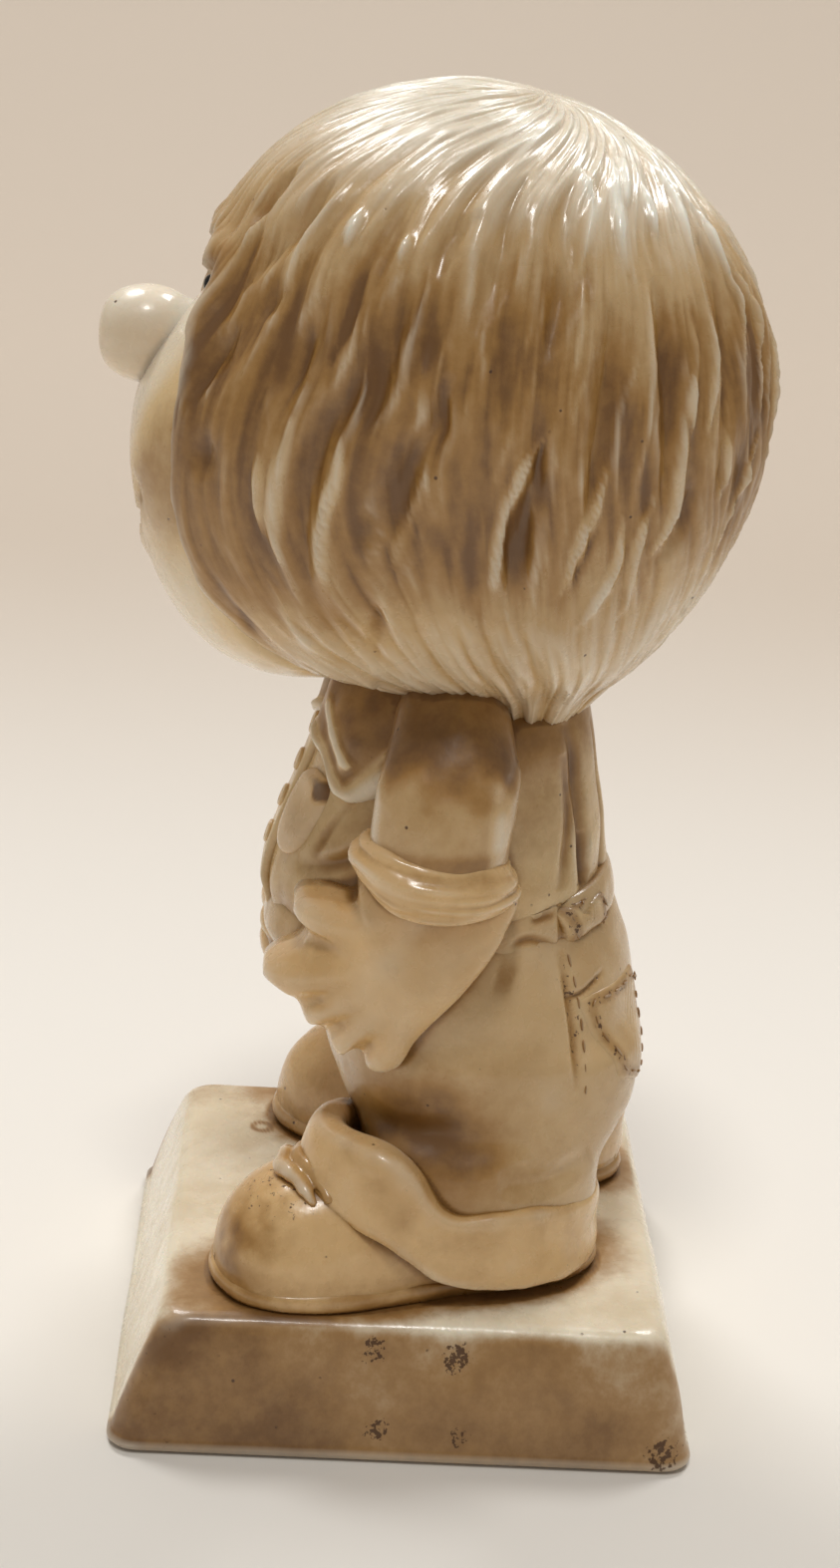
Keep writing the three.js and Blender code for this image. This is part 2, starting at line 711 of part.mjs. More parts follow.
function sleeveForm(side, grow = 0) {
  const station = (x, y, z, share = 1) => [
    side * x,
    y,
    z,
    SLEEVE_HALF_WIDTH * share,
    SLEEVE_HALF_DEPTH * share,
  ];
  return limb(
    [
      station(SHOULDER_HALF_WIDTH - 6, 1.4, NECKLINE_Z + 3, 0.8),
      station(ARM_SPREAD - 3.4, 1.2, NECKLINE_Z - 3.2),
      station(ARM_SPREAD - 0.6, 0.7, mix(CUFF_Z, NECKLINE_Z, 0.45)),
      station(ARM_SPREAD, 0, CUFF_Z - 1),
    ],
    { sides: 12, steps: 6, bluntness: 8, grow },
  );
}

// Left hand: spread on the hip, the thumb on top and four fingers towards the front
function leftHandForm() {
  const top = CUFF_Z;
  // from the wrist's back edge round the fingertips to the thumb, in shares of the hand's length
  const corners = [
    [0.34, -0.05],
    [0.35, -0.27],
    [0.19, -0.54],
    [-0.04, -0.81],
    [-0.12, -0.97],
    [-0.225, -1],
    [-0.305, -0.92],
    [-0.395, -0.945],
    [-0.47, -0.84],
    [-0.55, -0.82],
    [-0.585, -0.7],
    [-0.74, -0.65],
    [-0.755, -0.57],
    [-0.61, -0.46],
    [-0.57, -0.36],
    [-0.64, -0.27],
    [-0.54, -0.19],
    [-0.36, -0.18],
    [-0.27, -0.045],
  ].map(([y, z]) => [y * HAND_LENGTH, top + z * HAND_LENGTH]);
  const outline = smoothOutline(corners);
  const middle = [-0.145 * HAND_LENGTH, top - 0.5 * HAND_LENGTH];
  const layer = (shrink, depth) =>
    outline.map(([y, z]) => {
      const u = mix(y, middle[0], shrink);
      const v = mix(z, middle[1], shrink);
      const wrap = (0.31 / HAND_LENGTH) * (u - 2) ** 2;
      return new THREE.Vector3(ARM_SPREAD + 1 - wrap + depth, u, v);
    });
  const half = HAND_THICKNESS / 2;
  return skin([
    layer(0, -half * 2.3),
    layer(0, half * 0.2),
    layer(0.06, half * 0.65),
    layer(0.2, half * 0.9),
    layer(0.5, half * 1.15),
  ]);
}

// Right arm: bent over the ball, with four fingers curled in front of the belt
function ballCentre() {
  return new THREE.Vector3(-HIP_HALF_WIDTH - 3.5, -5.5, WAIST_Z - 6.5);
}

function rightHandForm() {
  const b = ballCentre();
  const r = BALL_RADIUS;
  const arm = FOREARM_RADIUS;
  const outer = b.x - 1.15 * r;
  const front = b.y - 1.06 * r;
  const forearm = limb(
    [
      [-ARM_SPREAD, 0.4, CUFF_Z, arm, arm],
      [outer + 0.47 * r, -0.21 * r, b.z + 0.92 * r, 0.96 * arm, 0.91 * arm],
      [b.x - 0.38 * r, front + 0.5 * r, b.z + 0.57 * r, 0.91 * arm, 0.87 * arm],
      [b.x + 0.37 * r, front + 0.13 * r, b.z + 0.15 * r, 0.96 * arm, 0.7 * arm],
      [b.x + 0.95 * r, front + 0.04 * r, b.z - 0.04 * r, 0.91 * arm, 0.57 * arm],
    ],
    { sides: 9, steps: 9, across: [0, 0.3, 1] },
  );
  const finger = (row) => {
    const z = b.z + (0.34 - 0.305 * row) * r;
    const reach = [0, 0.15, 0.1, -0.08][row] * r;
    return limb(
      [
        [b.x + 0.53 * r, front + 0.08 * r, z + 0.08 * r, FINGER_RADIUS, FINGER_RADIUS],
        [b.x + 1.16 * r + reach, front - 0.1 * r, z, FINGER_RADIUS, FINGER_RADIUS],
        [b.x + 1.62 * r + reach, front, z - 0.13 * r, FINGER_RADIUS, FINGER_RADIUS],
        [b.x + 1.79 * r + reach, front + 0.3 * r, z - 0.21 * r, FINGER_RADIUS * 0.9, FINGER_RADIUS * 0.9],
      ],
      { sides: 6, steps: 6, across: [0, 0, 1] },
    );
  };
  return [0, 1, 2, 3].map(finger).reduce((sum, next) => sum.add(next), forearm);
}

function ballForm(grow = 0) {
  const b = ballCentre();
  const sphere = new THREE.SphereGeometry(BALL_RADIUS + grow, 18, 11);
  sphere.translate(b.x, b.y, b.z);
  return solidFromGeometry(sphere);
}

function ballHoles() {
  const b = ballCentre();
  const spots = [
    [-24, 4],
    [-24, 24],
    [2, 14],
  ];
  const holes = spots.map(([rise, round]) => {
    const hole = new THREE.CylinderGeometry(BALL_HOLE_RADIUS, BALL_HOLE_RADIUS, BALL_RADIUS, 8);
    hole.translate(0, BALL_RADIUS, 0);
    hole.rotateX(-radians(90 + rise));
    hole.rotateZ(radians(250 + round));
    hole.translate(b.x, b.y, b.z);
    return solidFromGeometry(hole);
  });
  return holes.reduce((sum, next) => sum.add(next));
}

// Head: the side outline swept over the width
const outlineCurve = (radii) => {
  const count = radii.length;
  return (angle) => {
    const place = ((angle / (2 * Math.PI)) * count + count) % count;
    const i = Math.floor(place);
    const t = place - i;
    const [a, b, c, d] = [-1, 0, 1, 2].map((k) => radii[(i + k + count) % count]);
    return b + 0.5 * t * (c - a + t * (2 * a - 5 * b + 4 * c - d + t * (3 * (b - c) + d - a)));
  };
};
const hairRadius = outlineCurve(HAIR_OUTLINE);
const faceRadius = outlineCurve(FACE_OUTLINE);

// A point on the head for a direction of unit length.
function headPoint(direction, radius, halfWidth, power, rise) {
  const level = Math.hypot(direction.y, direction.z);
  const angle = Math.atan2(direction.z, direction.y);
  const width = Math.abs(direction.x);
  const stretch = (width ** power + level ** power) ** (-1 / power);
  const reach = level > 1e-6 ? (radius(angle) + rise) / level : 0;
  return new THREE.Vector3(
    direction.x * (halfWidth + rise) * stretch,
    direction.y * reach * level * stretch,
    direction.z * reach * level * stretch,
  ).add(HEAD_CENTRE);
}

function poleGrid(around, down, pointAt) {
  const rings = [[pointAt(0, 0)]];
  for (let i = 1; i < down; i += 1) {
    const fall = (Math.PI * i) / down;
    const ring = [];
    for (let j = 0; j < around; j += 1) ring.push(pointAt(fall, (2 * Math.PI * j) / around));
    rings.push(ring);
  }
  rings.push([pointAt(Math.PI, 0)]);
  return skin(rings);
}

const polar = (fall, turn) =>
  new THREE.Vector3(Math.sin(fall) * Math.cos(turn), Math.sin(fall) * Math.sin(turn), Math.cos(fall));

function headForm(grow = 0) {
  return poleGrid(24, 13, (fall, turn) =>
    headPoint(polar(fall, turn), faceRadius, HEAD_HALF_WIDTH, FACE_SECTION, grow),
  );
}

function smileGroove() {
  const points = [-1, -0.5, 0, 0.5, 1].map((share) =>
    headPoint(
      new THREE.Vector3(0.3 * share, -1, -0.42 + 0.1 * share * share).normalize(),
      faceRadius,
      HEAD_HALF_WIDTH,
      FACE_SECTION,
      0.1,
    ),
  );
  const section = new THREE.Shape();
  section.absellipse(0, 0, 0.55, 0.55, 0, 2 * Math.PI);
  const extrudePath = new THREE.CatmullRomCurve3(points);
  const settings = { steps: 10, extrudePath, curveSegments: 3 };
  return solidFromGeometry(new THREE.ExtrudeGeometry(section, settings));
}

// Hair: flutes between thin ridges that run from the whorl down to the nape, and long hollows
// pressed in between the locks
function hollowAt(fall, turn) {
  const mirrored = Math.cos(turn) < 0 ? Math.PI - turn : turn;
  const place = Math.atan2(Math.sin(mirrored), Math.cos(mirrored));
  const depths = LOCK_HOLLOWS.map((line) => {
    const [top, bottom] = [line[0][1], line[line.length - 1][1]].map(radians);
    const level = Math.min(Math.max(fall, top), bottom);
    const next = line.findIndex((point, k) => k > 0 && radians(point[1]) >= level - 1e-9);
    const [from, to] = [line[next - 1], line[next]];
    const share = (level - radians(from[1])) / radians(to[1] - from[1]);
    const across = Math.sin(level) * (place - radians(mix(from[0], to[0], share)));
    return 1 - ease(HEAD_RADIUS * Math.hypot(across, fall - level), 0, HOLLOW_HALF_WIDTH);
  });
  return HOLLOW_DEPTH * Math.max(...depths);
}

function hairForm() {
  const locks = (fall, turn) => {
    const drift = 0.25 * Math.sin(3 * fall + turn);
    const wander = 0.55 * Math.sin(2 * turn + 1) + 0.35 * Math.sin(5 * turn) + drift;
    const ridge = 1 - Math.abs(Math.sin((LOCK_COUNT / 2) * turn + wander)) ** 0.8;
    const fade = ease(fall, 0.15, 0.7) * (1 - 0.5 * ease(fall, 1.9, 2.5));
    return LOCK_DEPTH * fade * (ridge - 0.4) - hollowAt(fall, turn);
  };
  const pointAt = (fall, turn) => {
    const swirl = 0.5 * (1 - ease(fall, 0, 0.9));
    const tilt = mix(radians(-WHORL_TILT), radians(NAPE_TILT), ease(fall, 0, Math.PI));
    const direction = polar(fall, turn + swirl).applyAxisAngle(new THREE.Vector3(1, 0, 0), tilt);
    return headPoint(direction, hairRadius, HAIR_HALF_WIDTH, HAIR_SECTION, locks(fall, turn));
  };
  return poleGrid(5 * LOCK_COUNT, 14, pointAt);
}

// The opening in the hair for the face, with the fringe's points along its top.
function faceOpening() {
  const half = [
    [0, 0.51],
    [0.11, 0.455],
    [0.17, 0.5],
    [0.245, 0.45],
    [0.3, 0.355],
    [0.36, 0.41],
    [0.44, 0.26],
    [0.52, 0.065],
    [0.555, -0.19],
    [0.535, -0.48],
    [0.47, -0.71],
    [0.32, -1.1],
  ].map(([across, rise]) => [across * HEAD_RADIUS, HEAD_CENTRE.z + rise * HEAD_RADIUS]);
  const other = half
    .slice(1)
    .map(([x, height]) => [-x, height])
    .reverse();
  return prism([...half, ...other], "y", -BEYOND, HEAD_SETBACK - 0.32 * HEAD_RADIUS);
}

function noseForm(grow = 0) {
  const y = HEAD_SETBACK - NOSE_REACH + NOSE_LENGTH / 2;
  const z = HEAD_CENTRE.z + 4.1;
  return limb(
    [
      [0, y + NOSE_LENGTH / 2, z + 0.3, NOSE_RADIUS, NOSE_RADIUS],
      [0, y, z, NOSE_RADIUS, NOSE_RADIUS],
      [0, y - NOSE_LENGTH / 2, z - 0.3, NOSE_RADIUS, NOSE_RADIUS],
    ],
    { sides: 12, steps: 10, bluntness: 2.6, grow },
  );
}

function eyeForm(side, grow = 0) {
  const bead = new THREE.SphereGeometry(EYE_RADIUS + grow, 10, 6);
  bead.rotateX(Math.PI / 2);
  const direction = new THREE.Vector3(0, -1, 0.36).normalize();
  const seat = headPoint(direction, faceRadius, HEAD_HALF_WIDTH, FACE_SECTION, EYE_RADIUS * 0.35);
  bead.translate(side * EYE_SPREAD, seat.y + 0.5, seat.z);
  return solidFromGeometry(bead);
}

// Assembly
const figurine = new THREE.Group();
figurine.name = "resin_bowler_figurine";

function addPiece(name, material, solid) {
  const mesh = largest(solid).getMesh();
  const geometry = new THREE.BufferGeometry();
  geometry.setAttribute("position", new THREE.BufferAttribute(new Float32Array(mesh.vertProperties), 3));
  geometry.setIndex(new THREE.BufferAttribute(new Uint32Array(mesh.triVerts), 1));
  geometry.computeVertexNormals();
  const piece = new THREE.Mesh(geometry, material.clone());
  piece.name = name;
  figurine.add(piece);
}

const sides = [
  ["left", 1],
  ["right", -1],
];
const head = headForm(SEAM);
const waistband = waistbandForm(SEAM);
const trousers = trousersForm(SEAM);
const shirt = shirtForm(SEAM);
const ball = ballForm(SEAM);
const shoes = sides.flatMap(([, side]) => [soleForm(side, SEAM), shoeForm(side, SEAM)]);
const feet = [...shoes, tongueForm(1, SEAM), tongueForm(-1, SEAM)];

addPiece("plinth", CREAM, plinthForm());

for (const [name, side] of sides) {
  addPiece(name + "_shoe_sole", BONE, soleForm(side));
  addPiece(name + "_shoe_upper", BONE, shoeForm(side));
  addPiece(name + "_shoe_tongue", BROWN, cutBy(tongueForm(side), shoeForm(side, SEAM)));
}

addPiece("trousers", TAN, cutBy(trousersForm(), waistband, ball, ...shoes));
addPiece("left_turn_up", BONE, cutBy(turnUpForm(1), trousers, ...feet));
addPiece("right_turn_up", BONE, cutBy(turnUpForm(-1), trousers, turnUpForm(1, SEAM), ...feet));
addPiece("waistband", TAN, cutBy(waistbandForm(), ball));
addPiece("waistband_patch", IVORY, cutBy(patchForm(), trousers, shirt));
for (const [name, side] of sides) {
  addPiece(name + "_back_pocket", TAN, cutBy(backPocketForm(side), waistband));
}

const placket = (grow) => overlay(shirtForm, placketOutline(), "y", -BEYOND, 0, TRIM_THICKNESS, grow);
addPiece("shirt", IVORY, cutBy(shirtForm(), waistband, head));
addPiece("placket", IVORY, cutBy(placket(0), waistband, head));
for (let i = 0; i < BUTTON_COUNT; i += 1) {
  addPiece("button_" + (i + 1), BONE, cutBy(buttonForm(i), placket(SEAM), shirt));
}
for (const [name, side] of sides) {
  addPiece(name + "_collar", IVORY, cutBy(collarForm(side), head));
}
addPiece("chest_pocket", BONE, chestPocketForm());

for (const [name, side] of sides) {
  const cuff = cuffForm(side, SEAM);
  addPiece(name + "_sleeve", TAN, cutBy(sleeveForm(side), shirt, cuff, head, collarForm(side, SEAM)));
  addPiece(name + "_cuff", BONE, cutBy(cuffForm(side), shirt, waistband, trousers));
}
const againstBody = [trousers, waistband, shirt];
addPiece("left_hand", BONE, cutBy(leftHandForm(), cuffForm(1, SEAM), ...againstBody));
addPiece("right_hand", BONE, cutBy(rightHandForm(), cuffForm(-1, SEAM), ball, ...againstBody));
addPiece("bowling_ball", BROWN, cutBy(ballForm(), ballHoles()));

addPiece("head", IVORY, cutBy(headForm(), smileGroove()));
addPiece("nose", BONE, cutBy(noseForm(), head));
for (const [name, side] of sides) {
  addPiece(name + "_eye", BLACK, cutBy(eyeForm(side), head));
}
const underHair = [
  head,
  shirt,
  collarForm(1, SEAM),
  collarForm(-1, SEAM),
  sleeveForm(1, SEAM),
  sleeveForm(-1, SEAM),
  noseForm(SEAM),
  eyeForm(1, SEAM),
  eyeForm(-1, SEAM),
  faceOpening(),
];
addPiece("hair", TAN, cutBy(hairForm(), ...underHair));

export default figurine;
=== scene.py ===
"""A cast-resin figurine of a small boy bowler on a square plinth, dressed over its packed frame.

The modelling functions work in millimetres and the meshes are in metres. As in the frame, the figure
faces -Y, its left side is +X and the plinth stands on the floor at Z = 0.
"""

import json
import math
from functools import partial

import bpy
import numpy as np
import openvdb
from bpy.props import FloatProperty, FloatVectorProperty, IntProperty, PointerProperty
from mathutils import Matrix, Vector

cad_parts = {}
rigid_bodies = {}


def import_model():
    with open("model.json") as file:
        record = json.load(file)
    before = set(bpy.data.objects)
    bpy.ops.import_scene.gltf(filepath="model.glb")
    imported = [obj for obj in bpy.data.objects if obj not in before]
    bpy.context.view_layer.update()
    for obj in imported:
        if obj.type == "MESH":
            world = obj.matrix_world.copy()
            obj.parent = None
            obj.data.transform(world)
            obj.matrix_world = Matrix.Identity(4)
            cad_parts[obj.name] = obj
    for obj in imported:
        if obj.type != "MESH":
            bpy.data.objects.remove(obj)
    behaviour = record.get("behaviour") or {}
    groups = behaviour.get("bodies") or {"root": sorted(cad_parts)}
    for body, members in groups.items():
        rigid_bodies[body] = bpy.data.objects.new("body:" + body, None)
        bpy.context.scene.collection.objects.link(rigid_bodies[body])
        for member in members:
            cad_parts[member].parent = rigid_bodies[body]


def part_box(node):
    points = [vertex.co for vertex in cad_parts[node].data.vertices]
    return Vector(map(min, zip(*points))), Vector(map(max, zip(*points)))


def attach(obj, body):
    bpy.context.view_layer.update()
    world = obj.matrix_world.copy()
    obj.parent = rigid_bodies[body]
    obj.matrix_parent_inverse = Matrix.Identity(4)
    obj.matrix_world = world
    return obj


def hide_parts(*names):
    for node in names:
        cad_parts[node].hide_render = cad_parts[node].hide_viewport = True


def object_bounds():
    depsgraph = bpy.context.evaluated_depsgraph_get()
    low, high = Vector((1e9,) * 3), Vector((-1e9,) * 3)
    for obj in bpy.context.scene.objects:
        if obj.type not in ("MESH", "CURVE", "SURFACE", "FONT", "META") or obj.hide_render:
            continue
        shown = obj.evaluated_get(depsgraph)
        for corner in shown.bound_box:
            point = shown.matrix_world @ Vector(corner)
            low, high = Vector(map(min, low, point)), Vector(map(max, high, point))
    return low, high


bl_info = {
    "name": "Cast Resin Bowler",
    "version": (1, 0, 0),
    "blender": (4, 5, 0),
    "location": "3D View > Sidebar > Bowler",
    "description": "Builds the sculpted, stained pieces of a cast-resin bowler figurine",
    "category": "Add Mesh",
}

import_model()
CAD_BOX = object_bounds()
MM = 0.001


def box_mm(node):
    """A frame node's lowest and highest corners in millimetres."""
    low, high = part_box(node)
    return np.array(low) / MM, np.array(high) / MM


# Heights and places taken from the frame
PLINTH_LOW, PLINTH_HIGH = box_mm("plinth")
PLINTH_WIDTH, PLINTH_DEPTH, PLINTH_HEIGHT = PLINTH_HIGH - [PLINTH_LOW[0], PLINTH_LOW[1], 0]
SOLE_TOP = box_mm("left_shoe_sole")[1][2]
BELT_LOW, BELT_HIGH = box_mm("waistband")
WAIST_Z = (BELT_LOW[2] + BELT_HIGH[2]) / 2
BALL_LOW, BALL_HIGH = box_mm("bowling_ball")
BALL_CENTRE = (BALL_LOW + BALL_HIGH) / 2
CUFF_LOW, CUFF_HIGH = box_mm("left_cuff")
CUFF_Z = (CUFF_LOW[2] + CUFF_HIGH[2]) / 2
EYE_LOW, EYE_HIGH = box_mm("left_eye")

# Sizes shared with the frame, in millimetres
STANCE = 13.5
ANKLE_SETBACK = 6.0
RIGHT_FOOT_SETBACK = 5.0
LEFT_SPLAY = math.radians(13.5)
RIGHT_SPLAY = math.radians(22)
TOE_REACH = 27.5
HEEL_REACH = 15.0
TOE_HALF_WIDTH = 9.4
HEEL_HALF_WIDTH = 7.4
SHOE_HEIGHT = 11.8
SHOE_SECTION = 2.3
TURN_UP_HALF_WIDTH = 11.3
TURN_UP_FRONT_REACH = 20.3
TURN_UP_BACK_REACH = 15.2
LEG_HEIGHT = 38.6
HIP_HALF_WIDTH = 20.0
HIP_HALF_DEPTH = 17.0
LEG_HALF_WIDTH = 9.8
SEAT_SETBACK = 7.0
WAIST_HALF_WIDTH = 17.2
WAIST_HALF_DEPTH = 18.3
WAIST_SETBACK = 1.6
WAIST_SLOPE = math.tan(math.radians(8))
WAISTBAND_HEIGHT = 4.6
SHIRT_HEIGHT = 24.0
NECKLINE_Z = WAIST_Z + SHIRT_HEIGHT
SHOULDER_HALF_WIDTH = 14.5
CHEST_HALF_DEPTH = 14.8
ARM_SPREAD = 19.6
SLEEVE_HALF_WIDTH = 6.2
SLEEVE_HALF_DEPTH = 7.3
HAND_LENGTH = 22.2
HEAD_RADIUS = 31.0
HEAD_CENTRE = np.array([0, 3.0, NECKLINE_Z + HEAD_RADIUS])
WHORL_TILT = math.radians(7)
NAPE_TILT = math.radians(12)

# The head's outline radii from the side, every 22.5 degrees from the back over the top to the front,
# with its half width and how square its section is
HAIR_RADII = [28.9, 29.2, 29.2, 30, 31, 31.9, 32.9, 32.4, 36.1, 38.2, 36.2, 32.4, 31.4, 32.6, 30.6, 29.3]
FACE_RADII = [25.5, 25.5, 26, 26.5, 27, 27.5, 28.2, 29.4, 35.5, 38.2, 39.2, 32.6, 28, 27, 26, 25.5]
HAIR = (HAIR_RADII, 29.6, 2.25)
FACE = (FACE_RADII, 27.0, 2.1)

# The figure's sides, with the sign of x
SIDES = (("left", 1), ("right", -1))


# Settings: the sizes and colours that someone may want to change


def linear(hex_colour):
    """An sRGB hex colour as linear red, green, blue and alpha."""
    parts = [int(hex_colour[i : i + 2], 16) / 255 for i in (0, 2, 4)]
    return [c / 12.92 if c <= 0.04045 else ((c + 0.055) / 1.055) ** 2.4 for c in parts] + [1.0]


def length(name, about, millimetres):
    """A setting for a length, which Blender keeps in metres."""
    size = float(millimetres) * MM
    return FloatProperty(name=name, description=about, default=size, min=0.0, precision=5, unit="LENGTH")


def fraction(name, about, value):
    """A setting from 0 to 1."""
    return FloatProperty(name=name, description=about, default=value, min=0.0, max=1.0, subtype="FACTOR")


def strength(name, about, value, unit="NONE"):
    """A setting for the strength of a light."""
    return FloatProperty(name=name, description=about, default=value, min=0.0, unit=unit)


def whole(name, about, value):
    """A setting for a whole number."""
    return IntProperty(name=name, description=about, default=value, min=1)


def group_of(kind, name):
    """A setting that holds a group of others."""
    return PointerProperty(type=kind, name=name, description=kind.__doc__)


def tint(name, about, hex_colour):
    """A setting for a colour, given as it looks on a screen."""
    value = linear(hex_colour)[:3]
    return FloatVectorProperty(name=name, description=about, default=value, min=0.0, max=1.0, subtype="COLOR")


class PlinthSettings(bpy.types.PropertyGroup):
    """Sizes of the plinth."""

    base_width: length("Base width", "Width of the underside", PLINTH_WIDTH)
    base_depth: length("Base depth", "Depth of the underside from front to back", PLINTH_DEPTH)
    top_width: length("Top width", "Width where the sides meet the top", 56.0)
    top_depth: length("Top depth", "Depth where the sides meet the top", 54.0)
    corner_radius: length("Corner radius", "Radius of the upright corners", 3.0)
    edge_radius: length("Edge radius", "Radius of the worn edge round the top", 1.6)
    unevenness: length("Unevenness", "How far the cast sides wander from flat", 0.22)


class FeetSettings(bpy.types.PropertyGroup):
    """Sizes of the shoes and of the trouser turn-ups."""

    welt: length("Welt", "How far the sole stands out round the shoe", 0.38)
    tongue_roll: length("Tongue roll", "Radius of each wrinkle of the tongue", 1.0)
    turn_up_thickness: length("Turn-up thickness", "Thickness of the rolled turn-up at the heel", 3.7)


class ClothesSettings(bpy.types.PropertyGroup):
    """Sizes of the marks and trimmings on the clothes."""

    seam_depth: length("Seam depth", "Depth of the lines scored for seams", 0.5)
    fold_depth: length("Fold depth", "Depth of the folds down the back of the shirt", 0.9)
    gather_depth: length("Gather depth", "Depth of the gathers over the belt", 0.35)
    pocket_thickness: length("Pocket thickness", "How far the patch pockets stand out", 0.4)
    stitch_length: length("Stitch length", "Length of one stitch", 1.3)
    stitch_gap: length("Stitch gap", "Gap between two stitches", 0.9)
    stitch_thickness: length("Stitch thickness", "Thickness of a stitch", 0.32)
    button_radius: length("Button radius", "Radius of the shirt buttons", 1.32)
    button_rim: length("Button rim", "Radius of the round rim of a button", 0.34)
    cuff_thickness: length("Cuff thickness", "Height of the rolled sleeve cuffs", 6.9)


class HandSettings(bpy.types.PropertyGroup):
    """Sizes of the hands and the ball."""

    palm_thickness: length("Palm thickness", "Thickness of the hand on the hip", 4.6)
    finger_groove: length("Finger groove", "Depth of the grooves between the fingers", 0.75)
    finger_radius: length("Finger radius", "Radius of the fingers curled round the ball", 1.8)
    ball_radius: length("Ball radius", "Radius of the bowling ball", (BALL_HIGH - BALL_LOW)[2] / 2)
    ball_hole_radius: length("Ball hole radius", "Radius of the three finger holes", 1.25)


class HeadSettings(bpy.types.PropertyGroup):
    """Sizes of the face."""

    nose_radius: length("Nose radius", "Radius of the round nose", 5.0)
    eye_radius: length("Eye radius", "Radius of the bead eyes", (EYE_HIGH - EYE_LOW)[2] / 2)
    smile_depth: length("Smile depth", "Depth of the line of the mouth", 0.9)


class HairSettings(bpy.types.PropertyGroup):
    """Sizes of the combed locks."""

    lock_count: whole("Lock count", "Narrow locks round the head", 44)
    lock_depth: length("Lock depth", "Depth of the flutes between the locks", 0.5)
    hollow_depth: length("Hollow depth", "Depth of the long hollows", 1.3)
    ridge_height: length("Ridge height", "Height of the thin ridges drawn on the locks", 0.72)
    strand_depth: length("Strand depth", "Depth of the fine strands", 0.2)
    strand_spacing: length("Strand spacing", "Width of one fine strand", 1.3)
    wash: fraction("Wash", "How much stain stays between the strands", 0.42)
    seed: whole("Seed", "Which pattern of fine strands is drawn", 7)


class ResinSettings(bpy.types.PropertyGroup):
    """Colours of the resin, its stain and its gloss."""

    cream: tint("Cream", "Resin of the plinth", "f6ebd2")
    ivory: tint("Ivory", "Resin of the shirt, collar and face", "e0c290")
    bone: tint("Bone", "Resin of the hands, cuffs, shoes and nose", "dfba84")
    tan: tint("Tan", "Resin of the hair, sleeves and trousers", "cfaf80")
    brown: tint("Brown", "Resin of the tongues and the ball", "c29c66")
    # the wash colours also paint shade, and the rubbed colour paints highlights and light from the floor,
    # where the marks carry them
    wash: tint("Wash", "Amber stain wiped over the resin", "a4783b")
    deep_wash: tint("Deep wash", "Stain where it has gathered thickest", "6a4419")
    rubbed: tint("Rubbed", "Resin that is wiped clean on the crests", "f5efdf")
    fleck: tint("Fleck", "Stain caught in pinholes and flecks", "4a2a0c")
    stain: fraction("Stain", "How strongly the stain shows", 0.94)
    roughness: fraction("Roughness", "Roughness of the polished resin", 0.27)
    glass: tint("Glass", "Glass of the bead eyes", "0d0a08")


class StageSettings(bpy.types.PropertyGroup):
    """Light and floor."""

    back_power: strength("Back power", "Power of each soft lamp behind", 9.5, "POWER")
    ceiling_power: strength("Ceiling power", "Power of the lamp overhead", 9.0, "POWER")
    room_light: strength("Room light", "Strength of the light from all round", 0.32)
    near_floor: tint("Near floor", "Paper round the figurine", "e9e5de")
    # the paper further back is painted darker, as shade
    shaded_far_floor: tint("Far floor", "Paper further back", "c5b8a9")


class BowlerSettings(bpy.types.PropertyGroup):
    """All settings of the figurine."""

    plinth: group_of(PlinthSettings, "Plinth")
    feet: group_of(FeetSettings, "Feet")
    clothes: group_of(ClothesSettings, "Clothes")
    hands: group_of(HandSettings, "Hands")
    head: group_of(HeadSettings, "Head")
    hair: group_of(HairSettings, "Hair")
    resin: group_of(ResinSettings, "Resin")
    stage: group_of(StageSettings, "Stage")


def settings():
    return bpy.context.scene.bowler


def mm(size):
    """A length setting in millimetres."""
    return size / MM


# Numbers and noise

NOISE_CELLS = 32
NOISE_SHIFT = 16.37


def mix(low, high, share):
    return low + (high - low) * share


def ease(value, start, end):
    """Smooth step from 0 at start to 1 at end."""
    share = np.clip((value - start) / (end - start), 0, 1)
    return share * share * (3 - 2 * share)


def between_cells(grid, cell, part):
    """A grid read between the eight corners of its cells. A cell past its end starts over."""
    total = np.zeros(len(part))
    for corner in np.ndindex(2, 2, 2):
        weight = np.prod(np.where(np.array(corner) == 1, part, 1 - part), axis=1)
        i, j, k = ((cell + corner) % grid.shape).T
        total += weight * grid[i, j, k]
    return total


def lump_noise(points, size, seed):
    """Smooth noise from -1 to 1, with lumps of about the given size."""
    lattice = np.random.default_rng(seed).uniform(-1, 1, (NOISE_CELLS,) * 3)
    scaled = points / size + NOISE_SHIFT
    cell = np.floor(scaled).astype(int)
    return between_cells(lattice, cell, ease(scaled - cell, 0, 1))


def strand_noise(across, along, cells, rows, seed):
    """Noise from -1 to 1 that repeats once around (across from 0 to 1), in long thin cells."""
    lattice = np.random.default_rng(seed).uniform(-1, 1, (cells, rows + 2))
    u = across * cells
    v = np.clip(along, 0, 1) * rows
    i = np.floor(u).astype(int)
    j = np.clip(np.floor(v).astype(int), 0, rows)
    s, t = ease(u - i, 0, 1), ease(v - j, 0, 1)
    near, far = i % cells, (i + 1) % cells
    low = mix(lattice[near, j], lattice[far, j], s)
    high = mix(lattice[near, j + 1], lattice[far, j + 1], s)
    return mix(low, high, t)


def spline_rows(table, places):
    """Rows of a table read smoothly at fractional row numbers."""
    table = np.asarray(table, float)
    last = len(table) - 1
    i = np.clip(np.floor(places).astype(int), 0, last - 1)
    t = (places - i)[:, None]
    a = table[np.maximum(i - 1, 0)]
    b = table[i]
    c = table[i + 1]
    d = table[np.minimum(i + 2, last)]
    return b + 0.5 * t * (c - a + t * (2 * a - 5 * b + 4 * c - d + t * (3 * (b - c) + d - a)))


def round_curve(radii, angle):
    """A closed curve of radii at even angles, read smoothly at any angle."""
    place = angle / (2 * math.pi) * len(radii) % len(radii)
    return spline_rows(np.array([radii[-1], *radii, *radii[:2]])[:, None], 1 + place)[:, 0]


